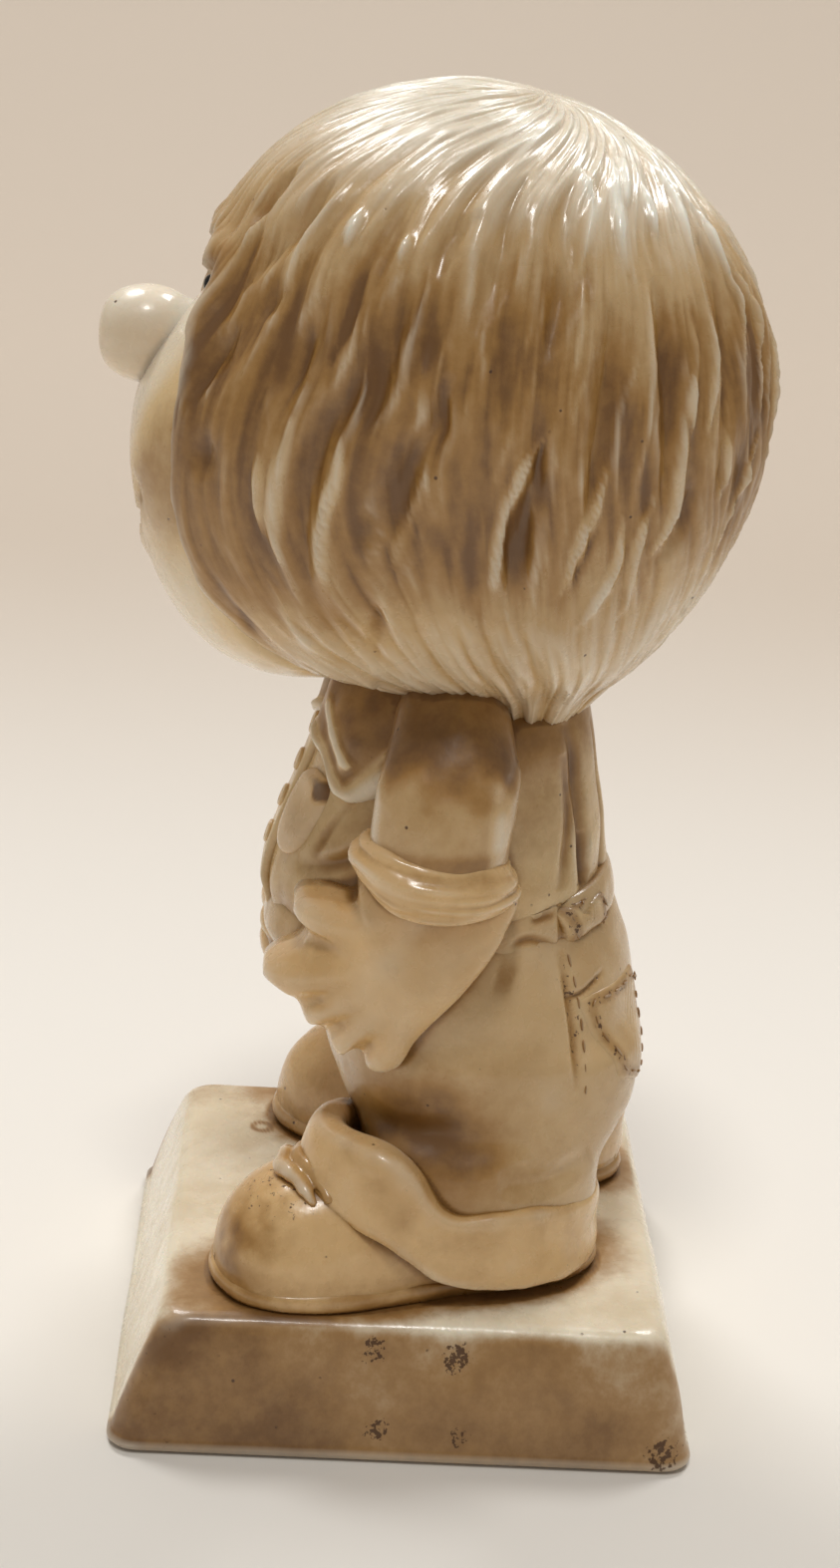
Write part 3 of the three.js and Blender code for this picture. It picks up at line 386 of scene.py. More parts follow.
def round_outline(outline, steps):
    """A closed outline made smooth, with that many steps from each of its points to the next."""
    outline = np.asarray(outline, float)
    closed = np.concatenate([outline[-1:], outline, outline[:2]])
    return spline_rows(closed, 1 + np.linspace(0, len(outline), steps * len(outline), endpoint=False))


def round_angles(count):
    """Even angles once round, in radians."""
    return np.linspace(0, 2 * math.pi, count, endpoint=False)


def away(points, place):
    """How far each point lies from a place."""
    return np.linalg.norm(points - place, axis=1)


def oval(angle, half_x, half_y, power=2.0):
    """A point of an oval with squarish sides where power is over 2."""
    c, s = np.cos(angle), np.sin(angle)
    stretch = (np.abs(c) ** power + np.abs(s) ** power) ** (-1 / power)
    return half_x * c * stretch, half_y * s * stretch


# Meshes as arrays: points in millimetres, and faces of four corners (a triangle repeats its last)


def tube_faces(rows, around):
    """Faces of a tube of rings with a single point at each end."""
    first = 1 + np.arange(rows * around).reshape(rows, around)
    here, beside = first, np.roll(first, -1, axis=1)
    quads = np.stack([here[:-1], beside[:-1], beside[1:], here[1:]], -1).reshape(-1, 4)
    end = rows * around + 1
    start_fan = np.stack([np.zeros(around, int), beside[0], here[0], here[0]], -1)
    end_fan = np.stack([np.full(around, end), here[-1], beside[-1], beside[-1]], -1)
    return np.concatenate([start_fan, quads, end_fan])


def ring_faces(rows, around):
    """Faces of a skin that closes on itself both ways, as a band's does."""
    here = np.arange(rows * around).reshape(rows, around)
    beside = np.roll(here, -1, axis=1)
    return np.stack([here, beside, np.roll(beside, -1, 0), np.roll(here, -1, 0)], -1).reshape(-1, 4)


def tube(start, rings, end):
    """A closed skin over rings, an array of rows by around by 3, with its two end points."""
    rows, around = rings.shape[:2]
    points = np.concatenate([[start], rings.reshape(-1, 3), [end]])
    return outwards(points, tube_faces(rows, around))


def capped(rings):
    """A closed skin over rings, its ends drawn to their middles."""
    rings = np.asarray(rings)
    return tube(rings[0].mean(0), rings, rings[-1].mean(0))


def outwards(points, faces):
    """The skin with its faces turned round if they point inwards, told by its volume."""
    a, b, c, d = (points[faces[:, k]] for k in range(4))
    if (np.cross(a, b) * c).sum() + (np.cross(a, c) * d).sum() > 0:
        return points, faces
    triangle = (faces[:, 2] == faces[:, 3])[:, None]
    return points, np.where(triangle, faces[:, [0, 2, 1, 1]], faces[:, [0, 3, 2, 1]])


def point_normals(points, faces):
    a, b, c, d = (points[faces[:, k]] for k in range(4))
    face_normal = np.cross(c - a, d - b)
    sloped = np.cross(b - a, c - a)
    face_normal = np.where((faces[:, 2] == faces[:, 3])[:, None], sloped, face_normal)
    total = np.zeros_like(points)
    for axis in range(3):
        for corner in range(4):
            total[:, axis] += np.bincount(faces[:, corner], face_normal[:, axis], len(points))
    return total / np.maximum(np.linalg.norm(total, axis=1, keepdims=True), 1e-12)


def level_ring(z, y, half_x, half_y, x=0, power=2.2, lean=0, turn=0):
    """A level ring of a loft: its middle, its half sizes, and how square, leaning and turned it is."""
    return [x, y, z, half_x, half_y, power, lean, turn]


def loft(stations, around, rows, dome=1.0, cap_rows=5):
    """A smooth body through level rings, with low domes on its ends."""
    along = spline_rows(stations, np.linspace(0, len(stations) - 1, rows))
    rise = math.copysign(dome, along[-1, 2] - along[0, 2])
    start, end = [], []
    for step in range(cap_rows, 0, -1):
        turn = step / (cap_rows + 1) * math.pi / 2
        for caps, station, way in ((start, along[0], -rise), (end, along[-1], rise)):
            ring = station.copy()
            ring[2] += way * math.sin(turn)
            ring[3:5] *= math.cos(turn)
            caps.append(ring)
    all_rings = np.array(start + list(along) + end[::-1])
    angle = round_angles(around)[None, :]
    x, y, z, half_x, half_y, power, lean, turn = (column[:, None] for column in all_rings.T)
    across, deep = oval(angle, half_x, half_y, power)
    dx = across * np.cos(turn) - deep * np.sin(turn)
    dy = across * np.sin(turn) + deep * np.cos(turn)
    rings = np.stack([x + dx, y + dy, z + dy * lean], -1)
    low_pole = all_rings[0][:3] - [0, 0, 0.05 * rise]
    high_pole = all_rings[-1][:3] + [0, 0, 0.05 * rise]
    return tube(low_pole, rings, high_pole)


def limb(stations, across=(1, 0, 0), around=48, rows=60, bluntness=5.0):
    """A round-ended limb through stations of x, y, z, half width and half thickness."""
    share = 0.5 - 0.5 * np.cos(np.pi * np.arange(1, rows) / rows)
    places = share * (len(stations) - 1)
    line = spline_rows(stations, places)
    step = 1e-3
    ahead = spline_rows(stations, np.minimum(places + step, len(stations) - 1))
    behind = spline_rows(stations, np.maximum(places - step, 0))
    tangent = ahead[:, :3] - behind[:, :3]
    tangent /= np.linalg.norm(tangent, axis=1, keepdims=True)
    wide = np.array(across) - tangent * (tangent @ np.array(across))[:, None]
    wide /= np.linalg.norm(wide, axis=1, keepdims=True)
    thick = np.cross(tangent, wide)
    full = (1 - np.abs(2 * share - 1) ** bluntness) ** 0.5
    angle = round_angles(around)
    a = np.cos(angle)[None, :, None] * (line[:, 3] * full)[:, None, None]
    b = np.sin(angle)[None, :, None] * (line[:, 4] * full)[:, None, None]
    rings = line[:, None, :3] + a * wide[:, None] + b * thick[:, None]
    return tube(np.array(stations[0][:3]), rings, np.array(stations[-1][:3]))


def sphere(centre, reach, radius, around, rows):
    """A ball. The reach leads from its centre to one of its poles."""
    stations = [[*(centre + way * np.array(reach)), radius, radius] for way in (-1, 0, 1)]
    return limb(stations, around=around, rows=rows, bluntness=2)


# Clay: pieces joined and smoothed as distances to their surface on a regular grid


def skin_distances(points, faces, voxel, band, first, size):
    """Distances to a closed skin, in voxels, on a block of a grid. Inside they are negative."""
    grid = openvdb.FloatGrid.createLevelSetFromPolygons(
        (points / voxel).astype(np.float32),
        quads=faces.astype(np.uint32),
        transform=openvdb.createLinearTransform(1.0),
        halfWidth=float(band),
    )
    values = np.zeros(size, np.float32)
    grid.copyToArray(values, ijk=tuple(int(i) for i in first))
    return values


class Clay:
    """A lump of clay that other lumps are pressed into with soft creases."""

    BAND = 8  # voxels on each side of the surface

    def __init__(self, low, high, voxel):
        self.voxel = voxel
        self.first = np.floor(np.array(low) / voxel).astype(int) - 3
        size = np.ceil(np.array(high) / voxel).astype(int) + 3 - self.first
        self.field = np.full(size, float(self.BAND) * voxel)

    def press(self, shape, blend, way=1):
        """Joins a shape, its creases filled to about blend, or cuts it away where way is -1."""
        values = skin_distances(*shape, self.voxel, self.BAND, self.first, self.field.shape)
        other = way * values.astype(float) * self.voxel
        near = np.clip(0.5 + way * 0.5 * (other - self.field) / blend, 0, 1)
        self.field = mix(other, self.field, near) - way * blend * near * (1 - near)
        return self

    def smooth(self, times=1):
        for _ in range(times):
            for axis in range(3):
                before = np.roll(self.field, 1, axis)
                after = np.roll(self.field, -1, axis)
                self.field = 0.25 * before + 0.5 * self.field + 0.25 * after
        return self

    def skin(self):
        grid = openvdb.FloatGrid(float(self.BAND) * self.voxel)
        first = tuple(int(i) for i in self.first)
        grid.copyFromArray(np.ascontiguousarray(self.field, np.float32), ijk=first)
        points, triangles, quads = grid.convertToPolygons(0.0, 0.0)
        faces = np.asarray(quads, int)
        if len(triangles):
            fans = np.asarray(triangles, int)
            faces = np.concatenate([faces, fans[:, [0, 1, 2, 2]]])
        return outwards(np.asarray(points, float) * self.voxel, faces)


# Sculpting: points pushed along their normals


def push(shape, amount):
    points, faces = shape
    return points + point_normals(points, faces) * amount[:, None], faces


def wobble(shape, *layers):
    """Pushes a shape by layers of noise, each given as size, height and seed."""
    points = shape[0]
    return push(shape, sum(height * lump_noise(points, size, seed) for size, height, seed in layers))


def path_distance(points, path):
    """Each point's distance to a broken line, and how far along the line its nearest place is, 0 to 1."""
    path = np.asarray(path, float)
    steps = np.linalg.norm(np.diff(path, axis=0), axis=1)
    done = np.concatenate([[0], np.cumsum(steps)]) / steps.sum()
    nearest = np.full(len(points), np.inf)
    along = np.zeros(len(points))
    for start, end, first, last in zip(path[:-1], path[1:], done[:-1], done[1:]):
        way = end - start
        share = np.clip((points - start) @ way / (way @ way), 0, 1)
        distance = np.linalg.norm(points - start - share[:, None] * way, axis=1)
        closer = distance < nearest
        nearest = np.where(closer, distance, nearest)
        along = np.where(closer, mix(first, last, share), along)
    return nearest, along


def smooth_path(corners, count=16):
    corners = np.asarray(corners, float)
    return spline_rows(corners, np.linspace(0, len(corners) - 1, count))


def score(points, path, width, side=None, taper=0.5):
    """How deep a tool's stroke lies at each point: 1 on the path, fading over the width and the ends.

    side is the axis that the stroke is seen along: 0 for a stroke given as y, z on the figure's left.
    """
    seen = points if side is None else np.delete(points, side, axis=1)
    path = smooth_path(path)
    near = np.all((seen > path.min(0) - width) & (seen < path.max(0) + width), axis=1)
    if side is not None:
        near &= points[:, side] > 2
    distance, along = path_distance(seen[near], path)
    depth = 1 - ease(distance, 0, width)
    if taper:
        depth = depth * np.clip(np.minimum(along, 1 - along) / taper * 2, 0, 1) ** 0.6
    marks = np.zeros(len(points))
    marks[near] = depth
    return marks


def grown_box(node, margin):
    low, high = box_mm(node)
    return low - margin, high + margin


# Making pieces


def arrays_mesh(name, shape, **marks):
    """A mesh from points in millimetres and faces, with a point attribute for each array of marks."""
    points, faces = shape
    triangle = faces[:, 2] == faces[:, 3]
    counts = np.where(triangle, 3, 4)
    keep = np.ones(faces.shape, bool)
    keep[:, 3] = ~triangle
    corners = faces[keep]
    mesh = bpy.data.meshes.new(name)
    mesh.vertices.add(len(points))
    mesh.vertices.foreach_set("co", (points * MM).astype(np.float32).ravel())
    mesh.loops.add(len(corners))
    mesh.loops.foreach_set("vertex_index", corners.astype(np.int32))
    mesh.polygons.add(len(faces))
    mesh.polygons.foreach_set("loop_start", np.concatenate([[0], np.cumsum(counts)[:-1]]).astype(np.int32))
    mesh.polygons.foreach_set("use_smooth", np.ones(len(faces), bool))
    mesh.update(calc_edges=True)
    mesh.validate()
    for mark, values in marks.items():
        if values is not None:
            add_mark(mesh, mark, values)
    return mesh


def add_mark(mesh, mark, values):
    """Writes a number or a vector for each point of a mesh."""
    values = np.asarray(values, np.float32)
    kind, field = ("FLOAT_VECTOR", "vector") if values.ndim == 2 else ("FLOAT", "value")
    attribute = mesh.attributes.new(mark, kind, "POINT")
    attribute.data.foreach_set(field, values.ravel())


def new_object(name, data):
    made = bpy.data.objects.new(name, data)
    bpy.context.scene.collection.objects.link(made)
    return made


def place_piece(name, mesh, nodes, slot):
    """Puts a piece of resin on the figurine, where it stands for the frame's nodes."""
    piece = new_object(name, mesh)
    mesh.name = name
    mesh.materials.clear()
    mesh.materials.append(finish_for(slot))
    piece["cast"] = True
    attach(piece, "root")
    if nodes:
        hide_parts(*nodes)


def cast(name, shape, nodes, slot, stain=None, flecks=None):
    """Makes a piece from its arrays. The stain is more than 0 where it gathers and less where rubbed; on some
    pieces it also holds painted shade above 0 and painted highlights below 0.
    """
    points = shape[0]
    rubbed = 0.14 * lump_noise(points, 8, 201) + 0.08 * lump_noise(points, 3, 202)
    stain = rubbed if stain is None else stain + rubbed
    place_piece(name, arrays_mesh(name, shape, stain=stain, flecks=flecks), nodes, slot)


# Geometry Nodes: what repeats or follows a rule


# Kinds and settings of nodes that come up often
MATHS, SPAN, MIX = "ShaderNodeMath", "ShaderNodeMapRange", "ShaderNodeMix"
OWN = "GeometryNodeInputNamedAttribute"
PLUS, MINUS, TIMES, LARGER = ({"operation": name} for name in ("ADD", "SUBTRACT", "MULTIPLY", "MAXIMUM"))
SMOOTH = {"interpolation_type": "SMOOTHSTEP"}
COLOURS = {"data_type": "RGBA"}


def add(tree, kind, options=None, inputs=(), output=None):
    """Adds a node with its options, and sets or links its inputs, given by name or in order.

    Returns the output that is asked for, or else the first live one.
    """
    made = tree.nodes.new(kind)
    for name, value in (options or {}).items():
        setattr(made, name, value)
    for place, value in inputs.items() if isinstance(inputs, dict) else enumerate(inputs):
        socket = made.inputs[place]
        if isinstance(value, bpy.types.NodeSocket):
            tree.links.new(value, socket)
        else:
            socket.default_value = value
    if output is not None:
        return made.outputs[output]
    return next((socket for socket in made.outputs if socket.enabled), None)


def new_tree(name, sizes):
    """A Geometry Nodes tree with inputs of the given names and kinds. Returns it and its inputs."""
    tree = bpy.data.node_groups.new(name, "GeometryNodeTree")
    for label, kind in {"Geometry": "Geometry", **sizes, "Material": "Material"}.items():
        tree.interface.new_socket(label, in_out="INPUT", socket_type="NodeSocket" + kind)
    tree.interface.new_socket("Geometry", in_out="OUTPUT", socket_type="NodeSocketGeometry")
    return tree, tree.nodes.new("NodeGroupInput").outputs


def finish_tree(tree, geometry, material):
    """Ends a tree in Realize Instances and Set Material."""
    real = add(tree, "GeometryNodeRealizeInstances", inputs={"Geometry": geometry})
    smooth = add(tree, "GeometryNodeSetShadeSmooth", inputs={"Geometry": real})
    done = add(tree, "GeometryNodeSetMaterial", inputs={"Geometry": smooth, "Material": material})
    add(tree, "NodeGroupOutput", inputs={"Geometry": done})
    return tree


def grown(mesh, tree, values):
    """The plain mesh that a tree makes of another mesh, its inputs set by their identifiers."""
    blank = new_object(tree.name, mesh)
    modifier = blank.modifiers.new(tree.name, "NODES")
    modifier.node_group = tree
    for item in tree.interface.items_tree:
        if item.in_out == "INPUT" and item.name in values:
            modifier[item.identifier] = values[item.name]
    evaluated = blank.evaluated_get(bpy.context.evaluated_depsgraph_get())
    made = bpy.data.meshes.new_from_object(evaluated)
    blank.modifiers.remove(modifier)
    bpy.data.objects.remove(blank)
    if not made.vertices:
        raise RuntimeError(tree.name + " made nothing")
    return made


def stitch_tree():
    """Stitches: short round-ended pads at even steps along the seams that come in as edges."""
    sizes = {"Stitch Length": "Float", "Gap": "Float", "Thickness": "Float", "Seed": "Int"}
    tree, given = new_tree("sewn_stitches", sizes)
    node = partial(add, tree)
    seam = node("GeometryNodeMeshToCurve", inputs={"Mesh": given["Geometry"]})
    step = node(MATHS, PLUS, (given["Stitch Length"], given["Gap"]))
    even = node("GeometryNodeResampleCurve", {"mode": "LENGTH"}, {"Curve": seam, "Length": step})
    along = node("GeometryNodeInputTangent")
    turned = node("FunctionNodeAlignRotationToVector", {"axis": "X"}, {"Vector": along})
    half_length = node(MATHS, TIMES, (given["Stitch Length"], 0.5))
    half_thick = node(MATHS, TIMES, (given["Thickness"], 0.5))
    size = node("ShaderNodeCombineXYZ", inputs=(half_length, half_thick, half_thick))
    # lengths from 0.7 to 1.15 of the size, drawn at random
    uneven = node("FunctionNodeRandomValue", inputs={2: 0.7, 3: 1.15, "Seed": given["Seed"]}, output=1)
    varied = node("ShaderNodeVectorMath", {"operation": "SCALE"}, {0: size, "Scale": uneven})
    pad = node("GeometryNodeMeshUVSphere", inputs={"Segments": 10, "Rings": 6}, output="Mesh")
    places = {"Points": even, "Instance": pad, "Rotation": turned, "Scale": varied}
    return finish_tree(tree, node("GeometryNodeInstanceOnPoints", inputs=places), given["Material"])


def button_tree():
    """Buttons: a domed disc with a round rim at each point, turned to face the way the point does."""
    tree, given = new_tree("sewn_buttons", {"Radius": "Float", "Rim": "Float", "Dome": "Float"})
    node = partial(add, tree)
    middle = node(MATHS, MINUS, (given["Radius"], given["Rim"]))
    ring = node("GeometryNodeCurvePrimitiveCircle", inputs={"Resolution": 40, "Radius": middle})
    wire = node("GeometryNodeCurvePrimitiveCircle", inputs={"Resolution": 14, "Radius": given["Rim"]})
    rim = node("GeometryNodeCurveToMesh", inputs={"Curve": ring, "Profile Curve": wire})
    bead = node("GeometryNodeMeshUVSphere", inputs={"Segments": 40, "Rings": 16}, output="Mesh")
    size = node("ShaderNodeCombineXYZ", inputs=(middle, middle, given["Dome"]))
    dome = node("GeometryNodeTransform", inputs={"Geometry": bead, "Scale": size})
    joined = node("GeometryNodeJoinGeometry", inputs={"Geometry": dome})
    tree.links.new(rim, joined.node.inputs["Geometry"])
    facing = node(OWN, {"data_type": "FLOAT_VECTOR"}, {"Name": "facing"}, "Attribute")
    turned = node("FunctionNodeAlignRotationToVector", {"axis": "Z"}, {"Vector": facing})
    places = {"Points": given["Geometry"], "Instance": joined, "Rotation": turned}
    return finish_tree(tree, node("GeometryNodeInstanceOnPoints", inputs=places), given["Material"])


def combed_tree():
    """Combed hair: narrow locks and fine strands raised along the surface's normals.

    The points bring comb (the cosine and sine of their turn, and their fall), fade and stain. The
    tree adds the wash that stays between the strands to their stain.
    """
    sizes = dict.fromkeys(("Locks", "Lock Depth", "Strands", "Strand Depth", "Wash"), "Float")
    tree, given = new_tree("combed_hair", {**sizes, "Seed": "Int"})
    node = partial(add, tree)
    comb = node(OWN, {"data_type": "FLOAT_VECTOR"}, {"Name": "comb"}, "Attribute")
    fade = node(OWN, {"data_type": "FLOAT"}, {"Name": "fade"}, "Attribute")
    bare = node(OWN, {"data_type": "FLOAT"}, {"Name": "stain"}, "Attribute")
    # thin crests of 0.5 that run down the head, with broad valleys of about -0.5 between
    crests = []
    for count_round, stretch in ((given["Locks"], 1.3), (given["Strands"], 2.6)):
        scale = node("ShaderNodeCombineXYZ", inputs=(count_round, count_round, stretch))
        lattice = node("ShaderNodeVectorMath", TIMES, (comb, scale))
        grain = {"Vector": lattice, "W": given["Seed"], "Scale": 1.0, "Detail": 1.0, "Roughness": 0.5}
        noise = node("ShaderNodeTexNoise", {"noise_dimensions": "4D"}, grain)
        apart = node(MATHS, TIMES, (node(MATHS, MINUS, (noise, 0.5)), 6.0))
        apart = node(MATHS, {"operation": "ABSOLUTE"}, (apart,))
        crests.append(node(MATHS, MINUS, (0.5, node(MATHS, {"operation": "MINIMUM"}, (apart, 1.2)))))
    locks, strands = crests
    coarse = node(MATHS, TIMES, (locks, given["Lock Depth"]))
    fine = node(MATHS, TIMES, (strands, given["Strand Depth"]))
    rise = node(MATHS, TIMES, (node(MATHS, PLUS, (coarse, fine)), fade))
    left = node(MATHS, PLUS, (locks, node(MATHS, TIMES, (strands, 0.7))))
    left = node(MATHS, TIMES, (node(MATHS, TIMES, (left, given["Wash"])), fade))
    stain = node(MATHS, MINUS, (bare, left))
    mark = {"Geometry": given["Geometry"], "Name": "stain", "Value": stain}
    stained = node("GeometryNodeStoreNamedAttribute", {"data_type": "FLOAT", "domain": "POINT"}, mark)
    normal = node("GeometryNodeInputNormal")
    offset = node("ShaderNodeVectorMath", {"operation": "SCALE"}, {0: normal, "Scale": rise})
    raised = node("GeometryNodeSetPosition", inputs={"Geometry": stained, "Offset": offset})
    return finish_tree(tree, raised, given["Material"])


def sew(name, seams, nodes=()):
    """Stitches along seams, each a list of points in millimetres."""
    clothes = settings().clothes
    points = np.concatenate([np.asarray(seam, float) for seam in seams])
    edges, first = [], 0
    for seam in seams:
        edges += [(first + k, first + k + 1) for k in range(len(seam) - 1)]
        first += len(seam)
    lines = bpy.data.meshes.new(name + "_seams")
    lines.from_pydata((points * MM).tolist(), edges, [])
    tree = bpy.data.node_groups.get("sewn_stitches") or stitch_tree()
    values = {
        "Stitch Length": clothes.stitch_length,
        "Gap": clothes.stitch_gap,
        "Thickness": clothes.stitch_thickness,
        "Seed": 3,
        "Material": finish_for("brown_stained_resin"),
    }
    stitches = grown(lines, tree, values)
    add_mark(stitches, "stain", np.full(len(stitches.vertices), 0.8))
    place_piece(name, stitches, nodes, "brown_stained_resin")


# Plinth


def plinth_shape():
    """A square tapered block with round corners and edges."""
    plinth = settings().plinth
    base = np.array([mm(plinth.base_width), mm(plinth.base_depth)]) / 2
    top = np.array([mm(plinth.top_width), mm(plinth.top_depth)]) / 2
    corner, edge, height = mm(plinth.corner_radius), mm(plinth.edge_radius), PLINTH_HEIGHT
    foot, setback, side_steps = 1.1, 0.8, 96
    corners = np.array([(1, 1), (-1, 1), (-1, -1), (1, -1)])

    def ring(share, inset, z, shrink=1.0):
        half = (mix(base, top, share) - inset) * shrink
        radius = min(corner * shrink, half.min())
        arcs = []
        for quarter, sign in enumerate(corners):
            angle = (quarter + np.linspace(0, 1, 9)) * math.pi / 2
            arcs.append(sign * (half - radius) + radius * np.column_stack([np.cos(angle), np.sin(angle)]))
        points = []
        for arc, after in zip(arcs, arcs[1:] + arcs[:1]):
            points += [*arc, *(mix(arc[-1], after[0], k / side_steps) for k in range(1, side_steps))]
        x, y = np.array(points).T
        return np.column_stack([x, y + share * setback, np.full(len(points), z)])

    rings = [ring(0, foot, 0, shrink) for shrink in np.linspace(0.15, 1, 5)]
    for angle in np.linspace(0, math.pi / 2, 5)[1:]:
        rings.append(ring(0, foot * (1 - math.sin(angle)), foot * (1 - math.cos(angle))))
    for z in np.linspace(1.5, height - edge, 36):
        rings.append(ring(z / height, -0.25 * math.sin(math.pi * z / height), z))
    for step in np.linspace(0, 1, 7)[1:]:
        angle = step * math.pi / 2
        inset = edge * (1 - math.cos(angle))
        rings.append(ring(1 - edge / height * (1 - step), inset, height - edge * (1 - math.sin(angle))))
    return capped(rings + [ring(1, edge, height, shrink) for shrink in np.linspace(0.98, 0.03, 64)])


def plinth_wash_shade_and_highlight(points):
    """Where the wash lies on the plinth, with painted shadow round the shoes and a painted highlight along
    the top edge, its left side mirrored to the right.
    """
    x, y, z = points.T
    side = ease(np.abs(x) - 26, 0, 2.0) * (1 - 0.6 * ease(z, PLINTH_HEIGHT - 1.2, PLINTH_HEIGHT))
    patchy = 0.13 * lump_noise(points, 9, 5)
    stain = side * (0.6 + 0.14 * ease(-y, 4, 12) + 0.12 * (1 - ease(z, 0, 9)) + patchy)
    top = ease(z, PLINTH_HEIGHT - 1.0, PLINTH_HEIGHT - 0.2)
    stain += 0.36 * top * ease(np.abs(x), 17, 25) * (0.7 + 0.5 * lump_noise(points, 7, 8)) * ease(-y, -18, 4)
    # paler along the rounded top edge: a painted highlight, with rubbed wear
    edge = np.exp(-(((np.abs(x) - 27.6) / 0.9) ** 2)) * ease(z, PLINTH_HEIGHT - 2.2, PLINTH_HEIGHT - 0.6)
    stain -= 0.3 * edge * ease(y, -16, 0)
    corner = 1 - ease(away(points, [27, -25, 13.5]), 2, 8)
    stain += 0.2 * corner * (0.6 + 0.4 * lump_noise(points, 3, 6))
    # a ring of painted contact shadow round each shoe on the top, with some wash
    for foot in (1, -1):
        shoe_contact_shadow = 1 - ease(footprint_distance(points, foot), 0.2, 3.6)
        stain += 0.6 * top * shoe_contact_shadow * (0.8 + 0.5 * lump_noise(points, 4, 9))
    # the mark of a small ring in front of the right shoe
    ring = np.hypot(x + 16.0, y + 16.8)
    return stain + 0.7 * np.exp(-(((ring - 1.1) / 0.35) ** 2)) * top


def plinth_flecks(points):
    """Clusters of bubbles that have opened and filled with stain, as y and z on the sides."""
    flecks = 0.12 * (1 - ease(points[:, 1], -27, -14))
    for y, z, size in ((-3.4, 12, 1.9), (5.5, 11.5, 2.1), (-2.6, 3.5, 1.8), (6, 3.2, 1.4), (28, 2.2, 2.6)):
        flecks = np.maximum(flecks, 1 - ease(away(points[:, 1:], [y, z]), 0.4 * size, size))
    return flecks * ease(np.abs(points[:, 0]) - 26, 0, 2.0)


class BOWLER_OT_plinth(bpy.types.Operator):
    """Cast the square tapered plinth"""

    bl_idname = "bowler.plinth"
    bl_label = "Plinth"

    def execute(self, context):
        shape = plinth_shape()
        points = shape[0]
        standing = ease(points[:, 2], 0.2, 2.0)
        uneven = lump_noise(points, 13, 3) + 0.45 * lump_noise(points, 4.5, 4)
        uneven = mm(settings().plinth.unevenness) * uneven
        shape = push(shape, (uneven - 0.12) * standing)
        points = shape[0]
        cast("plinth_block", shape, ["plinth"], "cream_resin", plinth_wash_shade_and_highlight(points), plinth_flecks(points))
        return {"FINISHED"}


# Feet, each with its splay and how far back its ankle stands

ANKLES = {1: (LEFT_SPLAY, ANKLE_SETBACK), -1: (RIGHT_SPLAY, ANKLE_SETBACK + RIGHT_FOOT_SETBACK)}


def foot_frame(side):
    """Turns u forwards from the ankle, v outwards and height into x, y, z."""
    splay, back = ANKLES[side]

    def at(u, v, z):
        u, v, z = np.broadcast_arrays(u, v, z)
        x = side * (STANCE + u * math.sin(splay) + v * math.cos(splay))
        return np.stack([x, back - u * math.cos(splay) + v * math.sin(splay), z], -1)

    return at


def footprint_distance(points, side):
    """About how far outside a shoe's outline each point lies, seen from above."""
    splay, back = ANKLES[side]
    across, ahead = points[:, 0] * side - STANCE, back - points[:, 1]
    u = ahead * math.cos(splay) + across * math.sin(splay)
    v = across * math.cos(splay) - ahead * math.sin(splay)
    middle, half_length = (TOE_REACH - HEEL_REACH) / 2, (TOE_REACH + HEEL_REACH) / 2
    reach = (np.abs((u - middle) / half_length) ** 2.6 + np.abs(v / TOE_HALF_WIDTH) ** 2.6) ** (1 / 2.6)
    return (reach - 1) * TOE_HALF_WIDTH


def shoe_half_width(share):
    wide = mix(HEEL_HALF_WIDTH, TOE_HALF_WIDTH, ease(share, 0.25, 0.75))
    return wide * (1 - np.abs(2 * share - 1) ** 5) ** 0.5


def shoe_rise(share):
    return SHOE_HEIGHT * mix(0.85, 1, ease(share, 0.1, 0.5)) * (1 - np.abs(2 * share - 1) ** 4) ** 0.5


def sole_shape(side):
    at = foot_frame(side)
    angle = round_angles(200)
    share = 0.5 - 0.5 * np.cos(angle)
    # the welt from below, as shares of its reach and of the sole's height
    welt = [(-0.45, 0.0), (0.4, 0.15), (0.9, 0.4), (1.0, 0.6), (0.75, 0.8), (0.15, 0.95), (-0.9, 1.0)]
    rings = []
    for reach, lift in welt:
        reach *= mm(settings().feet.welt)
        u = mix(-HEEL_REACH - reach, TOE_REACH + reach, share)
        v = np.sign(np.sin(angle)) * (shoe_half_width(share) + reach)
        v = np.where(np.abs(np.sin(angle)) < 1e-9, 0, v)
        rings.append(at(u, v, mix(PLINTH_HEIGHT - 0.15, SOLE_TOP, lift)))
    return capped(rings)


def upper_shape(side):
    at = foot_frame(side)
    rows = 110
    share = (0.5 - 0.5 * np.cos(np.pi * np.arange(1, rows) / rows))[:, None]
    angle = round_angles(120)[None, :]
    v, rise = oval(angle, shoe_half_width(share), shoe_rise(share), SHOE_SECTION)
    u = mix(-HEEL_REACH, TOE_REACH, share)
    rings = at(u, v, SOLE_TOP - 0.25 + np.where(rise > 0, rise, 0.02 * rise))
    return tube(at(-HEEL_REACH, 0, SOLE_TOP + 1), rings, at(TOE_REACH, 0, SOLE_TOP + 1))


def tongue_roll(side, row):
    """One wrinkle of the tongue, lying over the instep."""
    at = foot_frame(side)
    middle = [20.4, 18.6, 16.6][row]
    roll = mm(settings().feet.tongue_roll)
    stations = []
    for across in (-0.66, -0.3, 0, 0.3, 0.66):
        u = middle - abs(across) * 3.2
        share = (u + HEEL_REACH) / (TOE_REACH + HEEL_REACH)
        crown = (1 - abs(across) ** SHOE_SECTION) ** (1 / SHOE_SECTION)
        height = SOLE_TOP + float(shoe_rise(np.float64(share))) * crown + 0.1
        x, y, z = at(u, across * float(shoe_half_width(np.float64(share))), height)
        stations.append([x, y, z, roll * (0.87 + 0.13 * row), roll])
    return limb(stations, across=(0, 0, 1), around=32, rows=60, bluntness=4)


